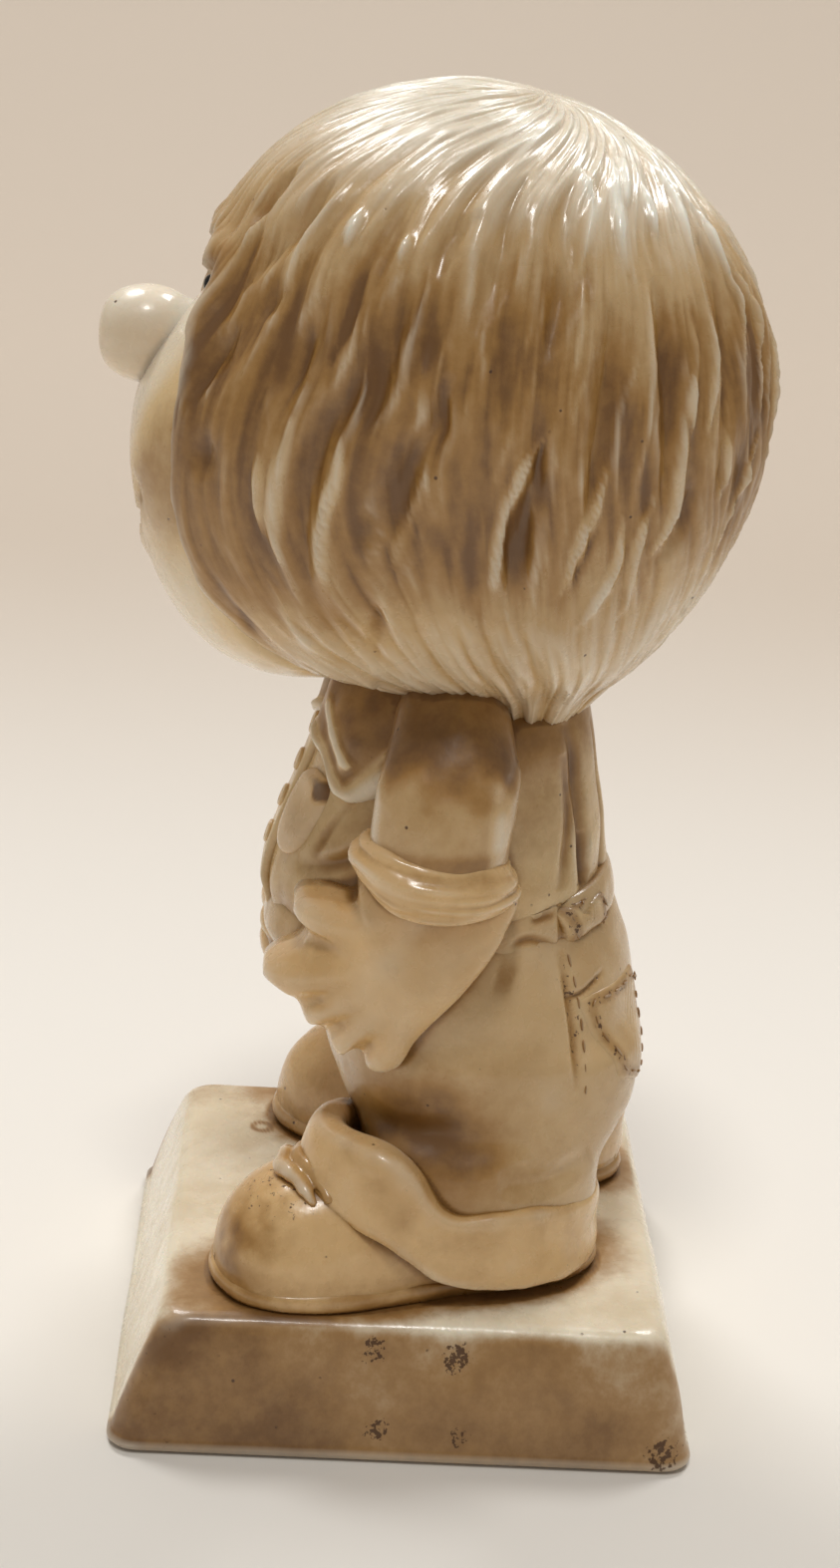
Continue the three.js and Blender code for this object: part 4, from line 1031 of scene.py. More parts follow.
def turn_up_edges(angle):
    """Heights of the band's lower and upper edge at each angle from the front, in radians."""
    degrees = np.degrees(np.abs((angle + math.pi) % (2 * math.pi) - math.pi))
    outer = np.sin(angle) > 0
    turns = [0, 25, 45, 55, 63, 70, 78, 88, 110, 140, 180]
    lower = [24.2, 24.2, 23.8, 22.9, 21.0, 18.9, 17.4, 16.7, 16.3, 16.1, 16.0]
    upper = [32.6, 32.7, 32.4, 31.4, 29.4, 27.0, 25.5, 26.0, 25.9, 25.0, 24.6]
    inner_upper = [32.6, 32.4, 31.6, 30.6, 29.4, 28.2, 27.2, 26.4, 25.4, 24.8, 24.6]
    low = np.interp(degrees, turns, lower)
    high = np.where(outer, np.interp(degrees, turns, upper), np.interp(degrees, turns, inner_upper))
    return low, high


def turn_up_shape(side):
    """A thick rolled band of even thickness, its face flat and its edges round."""
    at = foot_frame(side)
    around, section = 220, 44
    angle = round_angles(around)
    low, high = turn_up_edges(angle)
    kernel = np.array([1, 2, 3, 4, 3, 2, 1]) / 16
    low, high = (np.convolve(np.tile(edge, 3), kernel, "same")[around:-around] for edge in (low, high))
    low, high, angle = low[:, None], high[:, None], angle[:, None]
    forwards = np.cos(angle)
    front = ease(forwards, -0.15, 0.95)
    out, up = oval(round_angles(section)[None, :], 1, 1, 4.2)
    thin = mm(settings().feet.turn_up_thickness)
    thick = mix(thin, thin + 0.9, front)
    inset = thick / 2 * (1 - out) + 0.25 * (1 - np.abs(up)) - 0.25
    z = mix(low, high, 0.5 + 0.5 * up)
    flare = 1 - 0.16 * front * ((z - low) / 8.2)
    reach = np.where(forwards > 0, TURN_UP_FRONT_REACH, TURN_UP_BACK_REACH)
    rings = at((reach - inset) * forwards * flare, (TURN_UP_HALF_WIDTH - inset) * np.sin(angle), z)
    return outwards(rings.reshape(-1, 3), ring_faces(around, section))


class BOWLER_OT_shoes(bpy.types.Operator):
    """Cast the soles, the shoes and their wrinkled tongues"""

    bl_idname = "bowler.shoes"
    bl_label = "Shoes"

    def execute(self, context):
        for name, side in SIDES:
            seed = 11 if side > 0 else 17
            at = foot_frame(side)
            sole = wobble(sole_shape(side), (3.5, 0.14, seed))
            wash_and_painted_light = 0.4 + 0.25 * lump_noise(sole[0], 3, seed + 8)
            cast(name + "_sole", sole, [name + "_shoe_sole"], "bone_resin", wash_and_painted_light)
            upper = wobble(upper_shape(side), (7, 0.3, seed + 1), (2.6, 0.1, seed + 2))
            points = upper[0]
            toe = 1 - ease(away(points, at(25, 3, SOLE_TOP + 4)), 1, 7)
            pitted = 1 - ease(away(points, at(19.5, 1, SOLE_TOP + 10)), 3, 8)
            wash_and_painted_light = 0.14 + 0.5 * toe * (0.8 + 0.8 * lump_noise(points, 1.6, seed + 7))
            # painted shade low on the upper, where it meets the sole
            wash_and_painted_light += 0.25 * (1 - ease(points[:, 2] - SOLE_TOP, 0.3, 3))
            wash_and_painted_light += 0.2 * pitted * lump_noise(points, 1.2, seed + 9)
            cast(name + "_shoe", upper, [name + "_shoe_upper"], "bone_resin", wash_and_painted_light, 0.32 * pitted)
            rolls = Clay(*grown_box(name + "_shoe_tongue", 3), 0.28)
            for row in range(3):
                roll = wobble(tongue_roll(side, row), (2.2, 0.3, seed + 3 + row), (1.0, 0.15, seed + 6))
                rolls.press(roll, 0.3)
            rolls = rolls.skin()
            wash_and_painted_light = 0.1 + 0.5 * lump_noise(rolls[0], 1.6, seed + 10)
            cast(name + "_tongue", rolls, [name + "_shoe_tongue"], "brown_stained_resin", wash_and_painted_light)
        return {"FINISHED"}


class BOWLER_OT_turn_ups(bpy.types.Operator):
    """Cast the thick rolled turn-ups of the trousers"""

    bl_idname = "bowler.turn_ups"
    bl_label = "Turn-ups"

    def execute(self, context):
        for name, side in SIDES:
            seed = 18 if side > 0 else 24
            band = wobble(turn_up_shape(side), (9, 0.45, seed), (3.2, 0.22, seed + 1), (1.3, 0.05, seed + 2))
            wash_and_painted_light = 0.12 + 0.22 * lump_noise(band[0], 3, seed + 3)
            cast(name + "_trouser_turn_up", band, [name + "_turn_up"], "bone_resin", wash_and_painted_light)
        return {"FINISHED"}


# Trousers


def seat_shape():
    halfway = mix(SEAT_SETBACK, WAIST_SETBACK, 0.5)
    wide, deep = HIP_HALF_WIDTH, HIP_HALF_DEPTH
    stations = [
        level_ring(WAIST_Z - 25, SEAT_SETBACK + 2, wide - 8, deep - 7),
        level_ring(WAIST_Z - 22, SEAT_SETBACK + 1.6, wide - 2.4, deep - 2.4),
        level_ring(WAIST_Z - 17, SEAT_SETBACK + 0.6, wide, deep - 0.4),
        level_ring(WAIST_Z - 11.5, SEAT_SETBACK - 0.6, wide, deep),
        level_ring(WAIST_Z - 6, halfway, wide - 0.8, WAIST_HALF_DEPTH),
        level_ring(WAIST_Z, WAIST_SETBACK + 0.6, WAIST_HALF_WIDTH, WAIST_HALF_DEPTH),
    ]
    return loft(stations, around=160, rows=90)


def leg_shape(side):
    splay = side * ANKLES[side][0]
    stations = []
    for u, v, rise, wider, half_y in ((-1.5, -0.6, 7.5, 0, 12.2), (-1.8, -1.2, 14.5, 0.2, 12.6)):
        x, y, z = foot_frame(side)(u, v, PLINTH_HEIGHT + rise)
        stations.append(level_ring(z, y, LEG_HALF_WIDTH + wider, half_y, x, turn=splay))
    for drop, half_y in ((19, 13.9), (13, 14.4)):
        x, y, z = side * (HIP_HALF_WIDTH - LEG_HALF_WIDTH), SEAT_SETBACK + 1, WAIST_Z - drop
        stations.append(level_ring(z, y, LEG_HALF_WIDTH, half_y, x, turn=splay / 2))
    return loft(stations, around=120, rows=60)


def surface_over(points, flat):
    """How far back a piece's rear surface lies at places given by x and z."""
    rear = points[points[:, 1] > 4]
    depth = np.empty(len(flat))
    for first in range(0, len(flat), 256):
        some = flat[first : first + 256]
        distance = ((rear[None, :, [0, 2]] - some[:, None]) ** 2).sum(2)
        nearest = np.argpartition(distance, 8, axis=1)[:, :8]
        weight = 1 / (np.take_along_axis(distance, nearest, 1) + 0.02)
        depth[first : first + 256] = (rear[nearest, 1] * weight).sum(1) / weight.sum(1)
    return depth


def round_corners(corners, reach):
    """A closed outline with each corner rounded off over about the reach."""
    corners = np.asarray(corners, float)
    outline = []
    for before, here, after in zip(np.roll(corners, 1, 0), corners, np.roll(corners, -1, 0)):
        back = (before - here) / np.linalg.norm(before - here) * reach
        ahead = (after - here) / np.linalg.norm(after - here) * reach
        for step in np.linspace(0, 1, 6):
            outline.append(here + back * (1 - step) ** 2 + ahead * step**2)
    looped = np.array(outline + outline[:1])
    place = np.concatenate([[0], np.cumsum(np.linalg.norm(np.diff(looped, axis=0), axis=1))])
    even = np.linspace(0, place[-1], 120, endpoint=False)
    return np.column_stack([np.interp(even, place, looped[:, axis]) for axis in range(2)])


def patch_shape(outline, points, thick):
    """A thin patch that lies on the back of a piece, its rim rounded, and its outline to stitch."""
    rim = round_corners(outline, 0.9)
    middle = rim.mean(0)
    front, back = [], []
    for across in np.concatenate([np.linspace(0.04, 0.86, 16), np.linspace(0.9, 1, 6)]):
        flat = mix(middle, rim, across)
        y = surface_over(points, flat)
        front.append(np.column_stack([flat[:, 0], y + thick * (1 - across**14) ** 0.5, flat[:, 1]]))
        back.append(np.column_stack([flat[:, 0], y - 0.9, flat[:, 1]]))
    seam = mix(middle, rim, 0.86)
    seam = np.vstack([seam, seam[:1]])
    line = np.column_stack([seam[:, 0], surface_over(points, seam) + thick + 0.05, seam[:, 1]])
    return capped(front + back[::-1]), line


# The side seam below the belt, seen from the side as y and z
SIDE_SEAM = [(13.9, 52.8), (14.8, 49.6), (16.0, 44), (16.6, 38.6)]


def trousers_shape():
    """Seat and legs with their seams and folds, and each point's stain, painted shade included."""
    clothes = settings().clothes
    lump = Clay(*grown_box("trousers", 2), 0.36)
    lump.press(seat_shape(), 0.1).press(leg_shape(1), 5.0).press(leg_shape(-1), 5.0)
    shape = wobble(lump.smooth(12).skin(), (11, 0.35, 31), (4, 0.2, 32))
    points = shape[0]
    depth = np.zeros(len(points))
    stain = np.zeros(len(points))
    seam = mm(clothes.seam_depth)
    # strokes seen from the side, as y and z, with their width, depth and stain
    marks = (
        (SIDE_SEAM, 0.7, seam, 0.6),
        ([(15.0, 48.0), (17, 48.2), (19.2, 49.4)], 0.5, seam, 0.8),
        ([(7.0, 51.0), (9.4, 50.4)], 3.0, 0.1, 0.55),
        ([(19, 30), (14, 28.6), (9, 29.4)], 2.6, 0.8, 0.1),
        ([(12, 34), (5, 32.2), (-2, 33)], 3.0, 0.5, 0.05),
        ([(-6, 34), (-1, 33), (5, 35)], 2.4, 0.6, 0.15),
        ([(-10, 40), (-8, 44), (-2, 47)], 2.4, 0.3, 0.25),
    )
    for path, width, deep, wash_and_painted_light in marks:
        mark = score(points, path, width, side=0)
        depth -= deep * mark
        stain += wash_and_painted_light * mark
    # painted shade: darker in the fork between the legs, over the lower legs towards the front, and in a
    # patch on the legs below the hands, where their shadow falls
    fork = ease(np.abs(points[:, 0]), 2.2, 0) * ease(points[:, 2], 34, 28)
    low = 1 - ease(points[:, 2], 26, 38)
    stain += 0.5 * fork + low * (0.35 + 0.15 * lump_noise(points, 6, 33)) * ease(-points[:, 1], -16, -6)
    front = away(points[:, 1:] / [1.0, 0.7], [1, 35 / 0.7])
    stain += (0.75 + 0.3 * lump_noise(points, 4, 34)) * (1 - ease(front, 2, 14))
    return push(shape, depth), stain


def waistband_shape():
    half = WAISTBAND_HEIGHT / 2
    stations = []
    for rise, extra in ((-half, 0.4), (-half / 2, 0.9), (half / 2, 0.4), (half, -0.2)):
        wide, deep = WAIST_HALF_WIDTH + extra, WAIST_HALF_DEPTH + extra
        stations.append(level_ring(WAIST_Z + rise, WAIST_SETBACK, wide, deep, lean=WAIST_SLOPE))
    return wobble(loft(stations, around=260, rows=26, dome=0.5), (6, 0.22, 41), (2.2, 0.1, 42))


class BOWLER_OT_trousers(bpy.types.Operator):
    """Cast the seat, the legs and the waistband"""

    bl_idname = "bowler.trousers"
    bl_label = "Trousers"

    def execute(self, context):
        shape, stain = trousers_shape()
        flecks = 0.35 * score(shape[0], SIDE_SEAM, 1.3, side=0)
        cast("trousers_seat_and_legs", shape, ["trousers"], "tan_resin", stain, flecks)
        band = waistband_shape()
        points = band[0]
        folds = (
            [(13.9, 58), (14.2, 55), (14.4, 51)],
            [(8.6, 53.8), (11, 54.2), (13.4, 53.0)],
            [(10.6, 56.2), (13.4, 56.4)],
        )
        gathered = np.max([score(points, fold, 0.9, side=0) for fold in folds], axis=0)
        low = 1 - ease(points[:, 2] - WAIST_Z - WAIST_SLOPE * points[:, 1], -2.4, -1.4)
        band = push(band, -0.5 * gathered)
        cast("waistband_roll", band, ["waistband"], "tan_resin", 0.9 * gathered + 0.6 * low)
        return {"FINISHED"}


class BOWLER_OT_pockets(bpy.types.Operator):
    """Cast the patch pockets and the patch, and sew their stitches"""

    bl_idname = "bowler.pockets"
    bl_label = "Pockets and stitches"

    def execute(self, context):
        thick = mm(settings().clothes.pocket_thickness)
        seat = trousers_shape()[0][0]
        pocket = [(0.25, 0.145), (0.8, 0.145), (0.8, 0.378), (0.54, 0.44), (0.25, 0.378)]
        corners = np.array([(x * HIP_HALF_WIDTH, WAIST_Z - drop * LEG_HEIGHT) for x, drop in pocket])
        seams = []
        for name, side in SIDES:
            shape, line = patch_shape(corners * [side, 1], seat, thick)
            shape = wobble(shape, (3, 0.14, 45 + side))
            rim = 1 - ease(path_distance(shape[0], line)[0], 0.3, 1.2)
            cast(name + "_patch_pocket", shape, [name + "_back_pocket"], "tan_resin", 0.4 * rim, 0.35 * rim)
            seams.append(line)
        middle = WAIST_Z + WAIST_SLOPE * WAIST_HALF_DEPTH * 0.7
        square = [(0.5, -0.47), (0.8, -0.54), (0.8, 0.45), (0.5, 0.52)]
        corners = [(x * WAIST_HALF_WIDTH, middle + rise * WAISTBAND_HEIGHT) for x, rise in square]
        shape, line = patch_shape(corners, waistband_shape()[0], thick)
        shape = wobble(shape, (2.4, 0.16, 48))
        rim = 1 - ease(path_distance(shape[0], line)[0], 0.3, 1.1)
        cast("stitched_patch", shape, ["waistband_patch"], "ivory_resin", 0.3 + 0.4 * rim, 0.5 * rim)
        sew("pocket_stitches", [*seams, line])
        side_line = side_seam(seat, [(14.2, 51.6), (14.9, 49.4), (16.1, 44), (16.7, 38.6)])
        sew("side_seam_stitches", side_line)
        return {"FINISHED"}


def side_seam(points, path):
    """A line of stitches beside the scored seam on each hip, from its places as y and z."""
    flat = smooth_path(np.array(path) + [0.9, 0], 40)
    lines = []
    for side in (1, -1):
        near = points[points[:, 0] * side > 8]
        distance = ((near[None, :, 1:] - flat[:, None]) ** 2).sum(2)
        x = near[np.argmin(distance, axis=1), 0]
        x = np.convolve(np.pad(x, 3, mode="edge"), np.ones(7) / 7, "valid")
        lines.append(np.column_stack([x + 0.05 * side, flat]))
    return lines


# Shirt

SHIRT_SECTION = 2.15


def shirt_stations():
    """The shirt's level rings from the belt to the neck."""
    belly = WAIST_SETBACK - WAIST_HALF_DEPTH - 0.6
    chest = WAIST_SETBACK - CHEST_HALF_DEPTH + 0.6
    waist_back = WAIST_SETBACK + WAIST_HALF_DEPTH - 0.6
    chest_back = WAIST_SETBACK + CHEST_HALF_DEPTH + 1.3
    waist, shoulder = WAIST_HALF_WIDTH, SHOULDER_HALF_WIDTH
    # share of the height, front, back and half width
    rows = (
        (0, belly + 0.6, waist_back, waist - 0.2),
        (0.12, belly, waist_back, waist),
        (0.34, mix(belly, chest, 0.3), waist_back - 0.4, mix(waist, shoulder, 0.3)),
        (0.6, mix(belly, chest, 0.8), chest_back, mix(waist, shoulder, 0.7)),
        (0.84, chest + 1, chest_back - 0.9, shoulder),
        (1, chest + 2.4, chest_back - 2, shoulder - 2.4),
        (1.14, chest + 4, chest_back - 3, shoulder - 4),
    )
    stations = []
    for share, front, back, half_x in rows:
        z, y, half_y = mix(WAIST_Z + 1, NECKLINE_Z, share), (front + back) / 2, (back - front) / 2
        stations.append(level_ring(z, y, half_x, half_y, power=SHIRT_SECTION, lean=WAIST_SLOPE * (1 - share)))
    return np.array(stations)


def shirt_front(x, z):
    """How far forward the shirt's surface lies at a place given by x and z."""
    rows = shirt_stations()
    heights = rows[:, 2] - rows[:, 4] * rows[:, 6]
    place = np.interp(z, heights, np.arange(len(rows)))
    _, y, _, half_x, half_y, *_ = spline_rows(rows, np.atleast_1d(place)).T
    side = np.clip(np.abs(x) / half_x, 0, 0.999)
    return y - half_y * (1 - side**SHIRT_SECTION) ** (1 / SHIRT_SECTION)


def leaf_shape(outline, thick, lift, roll=0.5, spacing=0.35):
    """A thin leaf lying on the shirt's front, its rim rolled. The outline is given as x and z."""
    rim = round_outline(outline, 14)
    middle = rim.mean(0)
    shares = np.linspace(0.04, 1, max(8, int(away(rim, middle).mean() / spacing)))
    front, back = [], []
    for share in shares:
        flat = mix(middle, rim, share)
        y = shirt_front(flat[:, 0], flat[:, 1])
        edge = np.sqrt(np.clip(1 - share ** (6 / roll), 0, 1))
        front.append(np.column_stack([flat[:, 0], y - lift - thick * (0.35 + 0.65 * edge), flat[:, 1]]))
        back.append(np.column_stack([flat[:, 0], y + 0.8, flat[:, 1]]))
    return capped(front + back[::-1])


class BOWLER_OT_shirt(bpy.types.Operator):
    """Cast the body of the shirt with its folds"""

    bl_idname = "bowler.shirt"
    bl_label = "Shirt"

    def execute(self, context):
        clothes = settings().clothes
        fold = mm(clothes.fold_depth)
        shape = loft(shirt_stations(), around=240, rows=150, dome=2)
        shape = wobble(shape, (8, 0.25, 51), (3, 0.1, 52))
        points = shape[0]
        stain = np.zeros(len(points))
        depth = np.zeros(len(points))
        # folds on both sides, with width and depth: seen from the side as y and z, then from behind as
        # x and z, then those that run forwards from under the arm as x, y and z
        folds = (
            ([(13.2, 73), (14.2, 66), (13.8, 58.6)], 0.9, 0.55, 0),
            ([(16.2, 64), (16.7, 58)], 0.7, 0.9, 0),
            ([(9, 76), (9.4, 66), (10.2, 57)], 1.3, 1.0, 1),
            ([(3.4, 75), (3.8, 66), (4.8, 57)], 1.2, 0.9, 1),
            ([(15.5, -4.5, 66), (13.5, -9, 61), (9, -13.5, 58.5)], 1.6, 0.8, None),
            ([(13, -8, 69), (11.5, -11, 64), (10.8, -12.4, 60)], 1.0, 0.6, None),
        )
        both = np.column_stack([np.abs(points[:, 0]), points[:, 1:]])
        for path, width, deep, side in folds:
            mark = score(both, path, width, side)
            depth -= fold * deep * mark
            stain += 0.6 * mark
        turn = np.arctan2(points[:, 1], points[:, 0]) / (2 * math.pi) % 1
        gathers = strand_noise(turn, points[:, 2] * 0, 34, 1, 53)
        low = 1 - ease(points[:, 2] - WAIST_Z - WAIST_SLOPE * points[:, 1], 1, 7)
        depth += mm(clothes.gather_depth) * gathers * low
        stain += 0.35 * low * ease(-gathers, 0, 0.8)
        # the wash lies thick under the chin and under the arms
        # darker under the chin, the head's painted shadow together with the wash, and a little darker at the
        # sides below the arms
        x, y, z = points.T
        stain += ease(z, NECKLINE_Z - 9, NECKLINE_Z - 1) * (0.45 + 0.45 * ease(-y, 0, 8))
        stain += 0.12 * ease(np.abs(x), 9, 14) * ease(z, WAIST_Z + 5, WAIST_Z + 13) + 0.2
        cast("shirt_body", push(shape, depth), ["shirt"], "ivory_resin", stain)
        return {"FINISHED"}


class BOWLER_OT_trim(bpy.types.Operator):
    """Cast the collar, the front strip and the breast pocket"""

    bl_idname = "bowler.trim"
    bl_label = "Shirt trim"

    def execute(self, context):
        z = NECKLINE_Z
        leaf = [(2.4, 1.5), (3.0, -4.6), (7.4, -6.6), (12.2, -9.8), (14.6, -3), (11.5, 1.5)]
        leaf = [(x, z + rise) for x, rise in leaf]
        crease = smooth_path([(3.6, z - 1.0), (7.5, z - 3.2), (11.0, z - 6.6)], 16)
        for name, side in SIDES:
            outline = [(side * x, height) for x, height in leaf]
            shape = wobble(leaf_shape(outline, 1.5, 0.15), (4, 0.3, 61 + side), (1.6, 0.1, 63 + side))
            points = shape[0]
            flat = points[:, [0, 2]] * [side, 1]
            rim, _ = path_distance(flat, smooth_path(leaf[1:5], 24))
            fold, along = path_distance(flat, crease)
            fold = (1 - ease(fold, 0.1, 0.9)) * np.clip(4 * along, 0, 1)
            rolled = np.maximum(1 - ease(rim, 0.1, 0.8), 0.8 * fold)
            wash_and_painted_light = 0.75 * ease(np.minimum(rim, 3 - 3 * fold), 0.6, 1.5) - 0.8 * rolled
            wash_and_painted_light += 0.2 * lump_noise(points, 2, 68)
            cast(name + "_collar_leaf", push(shape, 0.5 * rolled), [name + "_collar"], "ivory_resin", wash_and_painted_light)
        half, low, high = 2.2, WAIST_Z - 2.4, NECKLINE_Z - 3.5
        strip = [(-half, mix(low, high, k / 5)) for k in range(6)]
        strip += [(half, mix(high, low, k / 5)) for k in range(6)]
        cast("placket_strip", wobble(leaf_shape(strip, 0.7, 0.1), (4, 0.12, 65)), ["placket"], "ivory_resin")
        x, z = 7.4, NECKLINE_Z - 13.4
        pocket = [(-3.4, 3.4), (-3.6, -2.8), (-0.6, -5), (1.7, -2.8), (2.0, 3), (-0.4, 4.2)]
        shape = wobble(leaf_shape(np.array(pocket) + [x, z], 1.0, 0.1), (3, 0.15, 66))
        points = shape[0]
        mouth = away(points[:, [0, 2]], [x + 1.6, z + 3.0]) + 0.9 * lump_noise(points, 1.4, 67)
        mouth = 1 - ease(mouth, 0.4, 2.0)
        cast("breast_pocket", shape, ["chest_pocket"], "bone_resin", 1.3 * mouth - 0.2)
        return {"FINISHED"}


class BOWLER_OT_buttons(bpy.types.Operator):
    """Sew the four buttons down the front"""

    bl_idname = "bowler.buttons"
    bl_label = "Buttons"

    def execute(self, context):
        clothes = settings().clothes
        places, facing = [], []
        for index in range(4):
            z = mix(WAIST_Z + 3.4, NECKLINE_Z - 3.6, (index + 0.5) / 4)
            slope = float((shirt_front(0, z + 1) - shirt_front(0, z - 1))[0]) / 2
            places.append((0, float(shirt_front(0, z)[0]) - 0.85, z))
            facing.append((0, -1, slope))
        spots = bpy.data.meshes.new("button_places")
        spots.from_pydata((np.array(places) * MM).tolist(), [], [])
        add_mark(spots, "facing", facing)
        values = {
            "Radius": clothes.button_radius,
            "Rim": clothes.button_rim,
            "Dome": 0.35 * MM,
            "Material": finish_for("bone_resin"),
        }
        nodes = [f"button_{index + 1}" for index in range(4)]
        place_piece("shirt_buttons", grown(spots, button_tree(), values), nodes, "bone_resin")
        return {"FINISHED"}


# Arms and hands

FINGER_SPACING = 2.9


def sleeve_shape(side):
    places = (
        (SHOULDER_HALF_WIDTH - 6, 1.4, NECKLINE_Z + 3, 0.8),
        (ARM_SPREAD - 3.4, 1.2, NECKLINE_Z - 3.2, 1.0),
        (ARM_SPREAD - 0.6, 0.7, mix(CUFF_Z, NECKLINE_Z, 0.45), 1.0),
        (ARM_SPREAD, 0, CUFF_Z - 1, 1.0),
    )
    wide, deep = SLEEVE_HALF_WIDTH, SLEEVE_HALF_DEPTH
    stations = [[side * x, y, z, wide * size, deep * size] for x, y, z, size in places]
    return limb(stations, around=120, rows=110, bluntness=8)


def finger(stations, radius):
    return limb([[*place, radius * size, radius * size * 0.86] for *place, size in stations],
                across=(0, 1, 0), around=40, rows=46, bluntness=4)


# From the wrist's back edge round the fingertips to the thumb, in shares of the hand's length
HAND_OUTLINE = (
    (0.34, -0.05), (0.35, -0.27), (0.19, -0.54), (0.03, -0.74), (-0.04, -0.84), (-0.11, -0.97),
    (-0.225, -1.0), (-0.305, -0.93), (-0.395, -0.945), (-0.47, -0.84), (-0.55, -0.82), (-0.6, -0.715),
    (-0.69, -0.68), (-0.765, -0.62), (-0.72, -0.545), (-0.61, -0.46), (-0.57, -0.36), (-0.64, -0.27),
    (-0.6, -0.2), (-0.48, -0.18), (-0.36, -0.17), (-0.27, -0.045),
)


def left_hand_shape():
    """The left hand, spread on the hip: one soft flat mitt whose fingers show in grooves and tips."""
    hands = settings().hands
    top, size = CUFF_Z, HAND_LENGTH
    rim = round_outline(np.array(HAND_OUTLINE) * size, 16)
    middle = np.array([-0.145, -0.5]) * size
    half = mm(hands.palm_thickness) / 2
    rows = [(1.0, half * depth) for depth in (-2.3, -1.4, -0.7, -0.2)]
    for across in 1 - np.sin(np.linspace(0, 1, 46) * math.pi / 2)[:-1]:
        rows.append((across, half * (0.12 + 1.02 * (1 - across**3.2) ** 0.5)))
    rings = []
    for across, depth in rows:
        flat = mix(middle, rim, across)
        wrap = 0.31 / size * (flat[:, 0] - 2) ** 2
        rings.append(np.column_stack([ARM_SPREAD + 1 - wrap + depth, flat[:, 0], top + flat[:, 1]]))
    shape = capped(rings)
    points = shape[0]
    flat = (points[:, 1:] - [0, top]) / size
    groove = mm(hands.finger_groove)
    depth = np.zeros(len(points))
    stain = np.zeros(len(points))
    marks = (
        ([(-0.6, -0.36), (-0.52, -0.38), (-0.44, -0.37)], 0.07, -0.6),
        ([(-0.62, -0.71), (-0.54, -0.68), (-0.46, -0.64)], 0.07, -0.6),
        ([(-0.49, -0.84), (-0.43, -0.79), (-0.37, -0.74)], 0.07, -0.6),
        ([(-0.31, -0.94), (-0.28, -0.88), (-0.24, -0.82)], 0.07, -0.6),
        ([(0.02, -0.16), (-0.1, -0.26), (-0.2, -0.4), (-0.27, -0.54)], 0.11, -0.45),
        ([(-0.69, -0.61), (-0.52, -0.54), (-0.33, -0.48)], 0.1, 0.5),
        ([(-0.57, -0.77), (-0.42, -0.67), (-0.28, -0.56)], 0.08, 0.35),
        ([(-0.4, -0.89), (-0.3, -0.78), (-0.2, -0.62)], 0.08, 0.3),
        ([(-0.2, -0.95), (-0.13, -0.8), (-0.08, -0.6)], 0.1, 0.4),
        ([(-0.6, -0.25), (-0.44, -0.26), (-0.24, -0.2)], 0.1, 0.45),
    )
    for path, width, deep in marks:
        distance, along = path_distance(flat, smooth_path(path))
        mark = (1 - ease(distance, 0, width)) * np.clip(np.minimum(along + 0.6, 1.25 - along) * 2, 0, 1)
        depth += groove * deep * mark
        stain += mark * (0.25 if deep < -0.5 else -0.1)
    outer = ease(points[:, 0] - ARM_SPREAD + 0.5, -1.5, 1)
    return push(shape, depth * outer), stain * outer


def right_hand_shape():
    """The right forearm, bent over the ball, with four fingers curled round in front of the belt."""
    b = BALL_CENTRE
    radius = (BALL_HIGH - BALL_LOW)[2] / 2
    outer = b[0] - radius - 1.4
    front = b[1] - radius - 0.6
    lump = Clay(*grown_box("right_hand", 4), 0.3)
    forearm = limb(
        [
            [-ARM_SPREAD, 0.4, CUFF_Z, 4.6, 4.6],
            [outer + 4.5, -2, b[2] + radius - 0.8, 4.4, 4.2],
            [b[0] - 3.6, front + 4.8, b[2] + 5.4, 4.2, 4],
            [b[0] + 3.5, front + 1.2, b[2] + 1.4, 4.4, 3.2],
            [b[0] + 9, front + 0.4, b[2] - 0.4, 4.2, 2.6],
        ],
        across=(0, 0.3, 1), around=72, rows=90,
    )
    lump.press(forearm, 0.2)
    for row, reach in enumerate((0, 1.4, 1.0, -0.8)):
        z = b[2] + 3.2 - row * FINGER_SPACING
        curled = [
            (b[0] + 5, front + 0.8, z + 0.8, 1.0),
            (b[0] + 11 + reach, front - 0.9, z, 1.0),
            (b[0] + 15.4 + reach, front + 0.1, z - 1.2, 1.0),
            (b[0] + 17 + reach, front + 2.8, z - 2, 0.9),
        ]
        lump.press(finger(curled, mm(settings().hands.finger_radius)), 0.7)
    return lump.smooth(2).skin()


def cuff_shape(side):
    """A thick soft roll that sags round the arm, raised at the front, drawn in at both edges."""
    tilt = math.tan(math.radians(-4))
    rows, around = 48, 240
    turn = np.linspace(-math.radians(84), math.radians(84), rows)[:, None]
    angle = round_angles(around)[None, :]
    half = mm(settings().clothes.cuff_thickness) / 2
    inset = half * (1 - np.cos(turn))
    across, deep = oval(angle, 7.6 - inset, 8.8 - inset, 2.0)
    turned = np.broadcast_to(angle / (2 * math.pi), (rows, around)).ravel()
    level = np.broadcast_to((turn + 1.5) / 3.0, (rows, around)).ravel()
    streaks = strand_noise(turned, level, 5, 10, 81) + 0.5 * strand_noise(turned, level, 11, 19, 82)
    streaks = streaks.reshape(rows, around)
    x = side * ARM_SPREAD + across * (1 + 0.045 * streaks)
    y = deep * (1 + 0.045 * streaks)
    height = half * (1 - 0.22 * ease(np.abs(y), 4, 9))
    sag = 0.9 * ease(-y, 3, 9) - 0.5 * ease(np.abs(across), 3, 7.6)
    z = CUFF_Z + height * np.sin(turn) + y * tilt + sag
    wash_and_painted_light = 0.3 * ease(-streaks, 0.1, 0.9) - 0.25 * ease(streaks, 0.2, 1) * (np.sin(turn) > -0.3)
    return capped(np.stack([x, y, z], -1)), np.concatenate([[0], wash_and_painted_light.ravel(), [0]])


